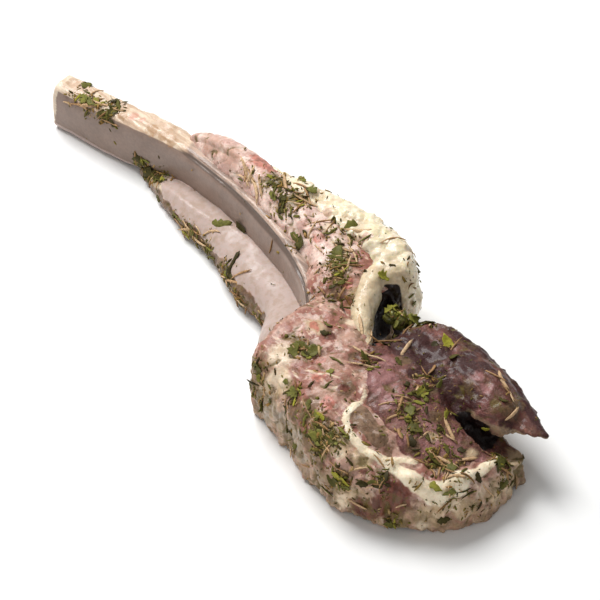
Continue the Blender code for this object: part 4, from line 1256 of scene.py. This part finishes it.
def bone_finish(tones):
    """Damp grey-pink bone skin, a beige top band with long fibres, a paler sawn end and painted shade
    in the groove.
    """
    look = Look("damp_bone", 0.42, tones.gloss * 0.6, 0.1, (0.8, 0.4, 0.3))
    fibres = look.noise(1.2, 4, (0.14, 1, 1), 4.0)
    coarse = look.noise(5.0, 4, seed=6.0)
    fine = look.noise(0.7, 3, seed=8.0)
    # The face is darkened at random; the groove's colour, far darker, is painted shade.
    darker, groove = ([value * fade for value in tones.bone_face] for fade in (0.84, 0.4))
    face = look.veil(tones.bone_face, (coarse, 0.3, 0.7, 0, 1, darker))
    shelf = look.veil(tones.bone_face, (fibres, 0.4, 0.6, 0, 1, tones.bone_shelf))
    band = look.veil(
        tones.bone_band,
        (fibres, 0.40, 0.62, 0, 1, tones.bone_light),
        (coarse, 0.55, 0.75, 0, 0.4, tones.bone_stain),
    )
    colour = look.patch(face, coarse, ("band", band, 1, 0.4))
    colour = look.patch(
        colour,
        fine,
        ("shelf", shelf, 1, 0.2),
        ("end", tones.bone_light, 0.85, 0.5),
        ("foot", tones.lining, 0.75, 0.3),
        # Painted shade in the groove.
        ("groove", groove, 0.8, 0.2),
        ("stain", tones.bone_stain, 0.6, 0.9),
        ("blood", tones.red, 0.5, 0.7),
        ("rub", tones.marinade, 0.65, 1.2, 0.4, 1.1),
    )
    colour = look.mix(0.3, colour, look.remap(fine, 0.25, 0.75, 0.7, 1.15), "MULTIPLY")
    look.feed(look.shader, {"Base Color": colour})
    look.bump(look.calculate("ADD", fine, fibres), 0.25, 0.3)
    return look.material


def herb_finish(name, steps, roughness, coat):
    """A finish whose colour runs through the steps by each piece's shade, with darker veins."""
    look = Look(name, roughness, coat)
    shade = look.add("ShaderNodeAttribute", {}, attribute_name="shade").outputs["Fac"]
    ramp = look.add("ShaderNodeValToRGB", {"Fac": shade})
    stops = ramp.color_ramp.elements
    while len(stops) < len(steps):
        stops.new(0.5)
    for number, colour in enumerate(steps):
        stops[number].position = number / (len(steps) - 1)
        stops[number].color = (*colour, 1)
    grain = look.noise(0.6, 3, seed=2.5)
    veins = look.remap(grain, 0.3, 0.7, 0.5, 1.3)
    look.feed(look.shader, {"Base Color": look.mix(0.6, ramp.outputs["Color"], veins, "MULTIPLY")})
    look.bump(grain, 0.3, 0.6)
    return look.material


# ---- Floor, light and camera ---------------------------------------------------------------


def make_floor():
    """A wide pale floor under the chop, with faint clouds."""
    corners = np.array([(-1, -1, 0), (1, -1, 0), (1, 1, 0), (-1, 1, 0)]) * FLOOR_REACH
    floor = mesh_thing("floor", corners, [[0, 1, 2, 3]])
    look = Look("pale_floor", 0.55)
    shade, light = FLOOR_TONES
    colour = look.veil(shade, (look.noise(300.0, 1), 0.3, 0.7, 0, 1, light))
    look.feed(look.shader, {"Base Color": colour})
    floor.data.materials.append(look.material)
    floor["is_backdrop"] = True


def outward(azimuth, elevation):
    """The direction away from the chop at these angles in degrees. Azimuth 0 is at -Y, and 90 at
    +X."""
    a, e = math.radians(azimuth), math.radians(elevation)
    return Vector((math.sin(a) * math.cos(e), -math.cos(a) * math.cos(e), math.sin(e)))


def add_lamp(name, azimuth, elevation, distance, side, power):
    """A square area light that looks at the chop."""
    back = outward(azimuth, elevation)
    lamp = bpy.data.lights.new(name, "AREA")
    lamp.shape = "SQUARE"
    lamp.size = side
    lamp.energy = power
    thing = bpy.data.objects.new(name, lamp)
    bpy.context.scene.collection.objects.link(thing)
    thing.location = back * distance
    thing.rotation_euler = back.to_track_quat("Z", "Y").to_euler()


def add_camera(stage):
    """The camera stands at the photograph's angle and looks at a point in the chop."""
    back = outward(stage.azimuth, stage.elevation)
    right = Vector((0, 0, 1)).cross(back).normalized()
    up = back.cross(right)
    lens = bpy.data.cameras.new("camera")
    lens.sensor_width = 36
    lens.lens = stage.focal_length
    lens.clip_start = 0.01
    camera = bpy.data.objects.new("camera", lens)
    bpy.context.scene.collection.objects.link(camera)
    turn = Matrix((right, up, back)).transposed().to_4x4()
    camera.matrix_world = Matrix.Translation(Vector(stage.look_at) + back * stage.distance) @ turn
    bpy.context.scene.camera = camera


# ---- Settings ------------------------------------------------------------------------------


def tone(name, default, words):
    """A colour that can be set."""
    return bpy.props.FloatVectorProperty(
        name=name, description=words, subtype="COLOR", size=3, min=0, max=1, default=default
    )


class CHOP_PG_tones(bpy.types.PropertyGroup):
    """Colours and gloss of the chop's tissues, some also used as painted shade and highlights."""

    muscle: tone("Muscle", (0.33, 0.135, 0.098), "Pink muscle round the eye")
    blush: tone("Blush", (0.58, 0.36, 0.3), "Soft pink muscle by the rib")
    rose: tone("Rose", (0.8, 0.61, 0.52), "Palest pink muscle by the rib")
    muscle_light: tone("Light muscle", (0.51, 0.305, 0.235), "Paler parts of the pink muscle")
    marbling: tone("Marbling", (0.76, 0.57, 0.42), "Thin pale fibres in the muscle")
    eye: tone("Eye", (0.165, 0.06, 0.052), "Dark purple eye of the loin")
    eye_brown: tone("Brown eye", (0.12, 0.05, 0.032), "Browner parts of the eye")
    # Maroon is also painted as shade in the valley by the flap, along the flange's crease and under the
    # flange.
    maroon: tone("Maroon", (0.05, 0.014, 0.012), "Darkest parts of the eye")
    flap: tone("Flap", (0.125, 0.042, 0.032), "Glossy flap beside the eye")
    # Purple is also painted as glints on the flap.
    purple: tone("Purple", (0.31, 0.14, 0.13), "Lighter purple parts of the eye")
    nodule: tone("Nodule", (0.24, 0.15, 0.088), "Grey brown muscle ringed with fat")
    # Painted shade: near black laid in the slit, the pocket, the crevice under the lip and on the fat by
    # the hollow.
    deep: tone("Hollow shade", (0.010, 0.003, 0.002), "Inside the slit and under the fat")
    red: tone("Red", (0.52, 0.17, 0.12), "Fresh red spots")
    blood: tone("Dark red", (0.17, 0.045, 0.026), "Dark red muscle")
    brown: tone("Brown crust", (0.17, 0.098, 0.048), "Brown parts of the cut faces")
    # Tan is also painted as shade in the dips between the fat's lumps.
    tan: tone("Tan", (0.62, 0.47, 0.3), "Dry tan muscle")
    # Grey is partly the wall's membrane and partly a painted sheen of its shaded side.
    grey: tone("Grey lining", (0.36, 0.3, 0.25), "Bluish grey lining on the wall")
    # Pale is also painted as a highlight along the strip's upper edge.
    pale: tone("Pale", (0.8, 0.65, 0.48), "Pale fat in the muscle")
    fat: tone("Fat", (0.9, 0.78, 0.58), "Cream fat")
    fat_yellow: tone("Yellow fat", (0.8, 0.69, 0.44), "Yellower parts of the fat")
    lip: tone("Lip", (0.64, 0.5, 0.32), "Smooth fat of the lip")
    lining: tone("Lining", (0.47, 0.36, 0.318), "Smooth lining between the ribs")
    # The groove along the rib is painted in this colour darkened, as shade.
    bone_face: tone("Bone face", (0.265, 0.185, 0.146), "The rib's flat side")
    bone_shelf: tone("Bone shelf", (0.50, 0.36, 0.28), "The rib's top beside the back muscle")
    bone_band: tone("Bone band", (0.56, 0.39, 0.27), "The rib's top near its sawn end")
    bone_light: tone("Light bone", (0.76, 0.62, 0.47), "The rib's sawn end and pale fibres")
    bone_stain: tone("Bone stain", (0.36, 0.19, 0.08), "Brown stains on the rib's top")
    # Marinade is also painted as shade in the meat's creases and between the wall's folds.
    marinade: tone("Marinade", (0.125, 0.088, 0.016), "Olive brown stains of the marinade")
    herb: tone("Herb paste", (0.125, 0.120, 0.028), "Olive green stains of the herbs")
    gloss: bpy.props.FloatProperty(
        name="Gloss", description="How wet the chop looks", min=0, max=1, default=0.5, subtype="FACTOR"
    )


class CHOP_PG_rub(bpy.types.PropertyGroup):
    """How much of the herb rub lies loose on the chop."""

    leaves: bpy.props.IntProperty(name="Leaves", description="Loose bits of leaf", default=150, min=0)
    needles: bpy.props.IntProperty(name="Needles", description="Loose needles", default=90, min=0)
    straws: bpy.props.IntProperty(name="Straws", description="Loose bits of stalk", default=170, min=0)
    crumbs: bpy.props.IntProperty(name="Crumbs", description="Herb and pepper", default=5200, min=0)


class CHOP_PG_skin(bpy.types.PropertyGroup):
    """How finely the skins are made."""

    meat: bpy.props.FloatProperty(
        name="Meat", description="Side of the meat's quads in millimetres", default=0.52, min=0.3
    )
    fat: bpy.props.FloatProperty(
        name="Fat", description="Side of the fat's quads in millimetres", default=0.42, min=0.3
    )


class CHOP_PG_stage(bpy.types.PropertyGroup):
    """Camera and lights."""

    azimuth: bpy.props.FloatProperty(
        name="Azimuth", description="Camera azimuth in degrees", default=50.05
    )
    elevation: bpy.props.FloatProperty(
        name="Elevation", description="Camera elevation in degrees", default=42.894
    )
    distance: bpy.props.FloatProperty(
        name="Distance", description="From the camera to its target", default=0.9873, unit="LENGTH"
    )
    focal_length: bpy.props.FloatProperty(
        name="Focal length", description="In millimetres", default=241.5
    )
    look_at: bpy.props.FloatVectorProperty(
        name="Look at",
        description="The camera's target",
        default=(0.0117, 0.0045, 0.010),
        subtype="TRANSLATION",
    )
    key: bpy.props.FloatProperty(name="Key light", description="Power in watts", default=10.3, min=0)
    fill: bpy.props.FloatProperty(
        name="Fill light", description="Strength of the sky", default=0.31, min=0
    )


# ---- Operators -----------------------------------------------------------------------------


def skins_in_place():
    """The three skins that the rub lies on."""
    names = ("rib_face", "meat_flesh", "fat_cover")
    missing = [name for name in names if name not in bpy.data.objects]
    if missing:
        raise RuntimeError(f"make these pieces first: {missing}")
    return [bpy.data.objects[name] for name in names]


class CHOP_OT_meat(bpy.types.Operator):
    """Make the chop's meat"""

    bl_idname = "chop.meat"
    bl_label = "Meat"

    def execute(self, context):
        thing = make_meat(context.scene.chop_skin.meat)
        dress(thing, meat_finish(context.scene.chop_tones), "meat")
        return {"FINISHED"}


class CHOP_OT_fat(bpy.types.Operator):
    """Make the chop's fat cap"""

    bl_idname = "chop.fat"
    bl_label = "Fat cap"

    def execute(self, context):
        thing = make_fat(context.scene.chop_skin.fat)
        dress(thing, fat_finish(context.scene.chop_tones), "fat_cap")
        return {"FINISHED"}


class CHOP_OT_rib(bpy.types.Operator):
    """Make the bare rib"""

    bl_idname = "chop.rib"
    bl_label = "Rib"

    def execute(self, context):
        dress(make_rib(), bone_finish(context.scene.chop_tones), "rib_bone")
        return {"FINISHED"}


class CHOP_OT_rub(bpy.types.Operator):
    """Rub the chop with leaves, needles, straws and crumbs"""

    bl_idname = "chop.rub"
    bl_label = "Herb rub"

    def execute(self, context):
        rub = context.scene.chop_rub
        things = skins_in_place()
        graph = context.evaluated_depsgraph_get()
        skins = [BVHTree.FromObject(thing, graph) for thing in things]
        green = herb_finish("wet_leaf", GREENS, 0.66, 0.04)
        dry = herb_finish("dry_stalk", STALKS, 0.6, 0.05)
        speck = herb_finish("crumb", SPECKS, 0.75, 0.0)
        kinds = ("leaf", rub.leaves, green), ("needle", rub.needles, green), ("straw", rub.straws, dry)
        for kind, loose, material in kinds:
            dress(make_sprigs(kind, loose, things, skins), material, None)
        dress(make_crumbs(rub.crumbs, things), speck, None)
        return {"FINISHED"}


class CHOP_OT_stage(bpy.types.Operator):
    """Set the floor, the lights and the camera"""

    bl_idname = "chop.stage"
    bl_label = "Stage"

    def execute(self, context):
        stage = context.scene.chop_stage
        make_floor()
        for name, (azimuth, elevation, distance, side, share) in LAMPS.items():
            add_lamp(name, azimuth, elevation, distance, side, stage.key * share)
        world = bpy.data.worlds.new("studio")
        world.use_nodes = True
        sky = world.node_tree.nodes["Background"].inputs
        sky["Color"].default_value = (1, 1, 1, 1)
        sky["Strength"].default_value = stage.fill
        context.scene.world = world
        context.scene.view_settings.view_transform = "Standard"
        add_camera(stage)
        return {"FINISHED"}


class CHOP_PT_panel(bpy.types.Panel):
    """Everything that dresses the chop"""

    bl_idname = "CHOP_PT_panel"
    bl_label = "Lamb chop"
    bl_space_type = "VIEW_3D"
    bl_region_type = "UI"
    bl_category = "Chop"

    def draw(self, context):
        for name, kind in GROUPS.items():
            box = self.layout.box()
            box.label(text=kind.__doc__)
            for setting in kind.__annotations__:
                box.prop(getattr(context.scene, name), setting)
        for step in STEPS:
            self.layout.operator(step.bl_idname)


GROUPS = {
    "chop_tones": CHOP_PG_tones,
    "chop_rub": CHOP_PG_rub,
    "chop_skin": CHOP_PG_skin,
    "chop_stage": CHOP_PG_stage,
}
STEPS = (CHOP_OT_meat, CHOP_OT_fat, CHOP_OT_rib, CHOP_OT_rub, CHOP_OT_stage)


def register():
    """Adds the settings, the operators and the panel."""
    for kind in (*GROUPS.values(), *STEPS, CHOP_PT_panel):
        bpy.utils.register_class(kind)
    for name, kind in GROUPS.items():
        setattr(bpy.types.Scene, name, bpy.props.PointerProperty(type=kind))


def unregister():
    """Takes them away again."""
    for name in GROUPS:
        delattr(bpy.types.Scene, name)
    for kind in (CHOP_PT_panel, *reversed(STEPS), *reversed(GROUPS.values())):
        bpy.utils.unregister_class(kind)


def main():
    """Dresses the chop and sets the stage."""
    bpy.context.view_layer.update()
    register()
    bpy.ops.chop.meat()
    bpy.ops.chop.fat()
    bpy.ops.chop.rib()
    bpy.ops.chop.rub()
    bpy.ops.chop.stage()


if __name__ == "__main__":
    main()
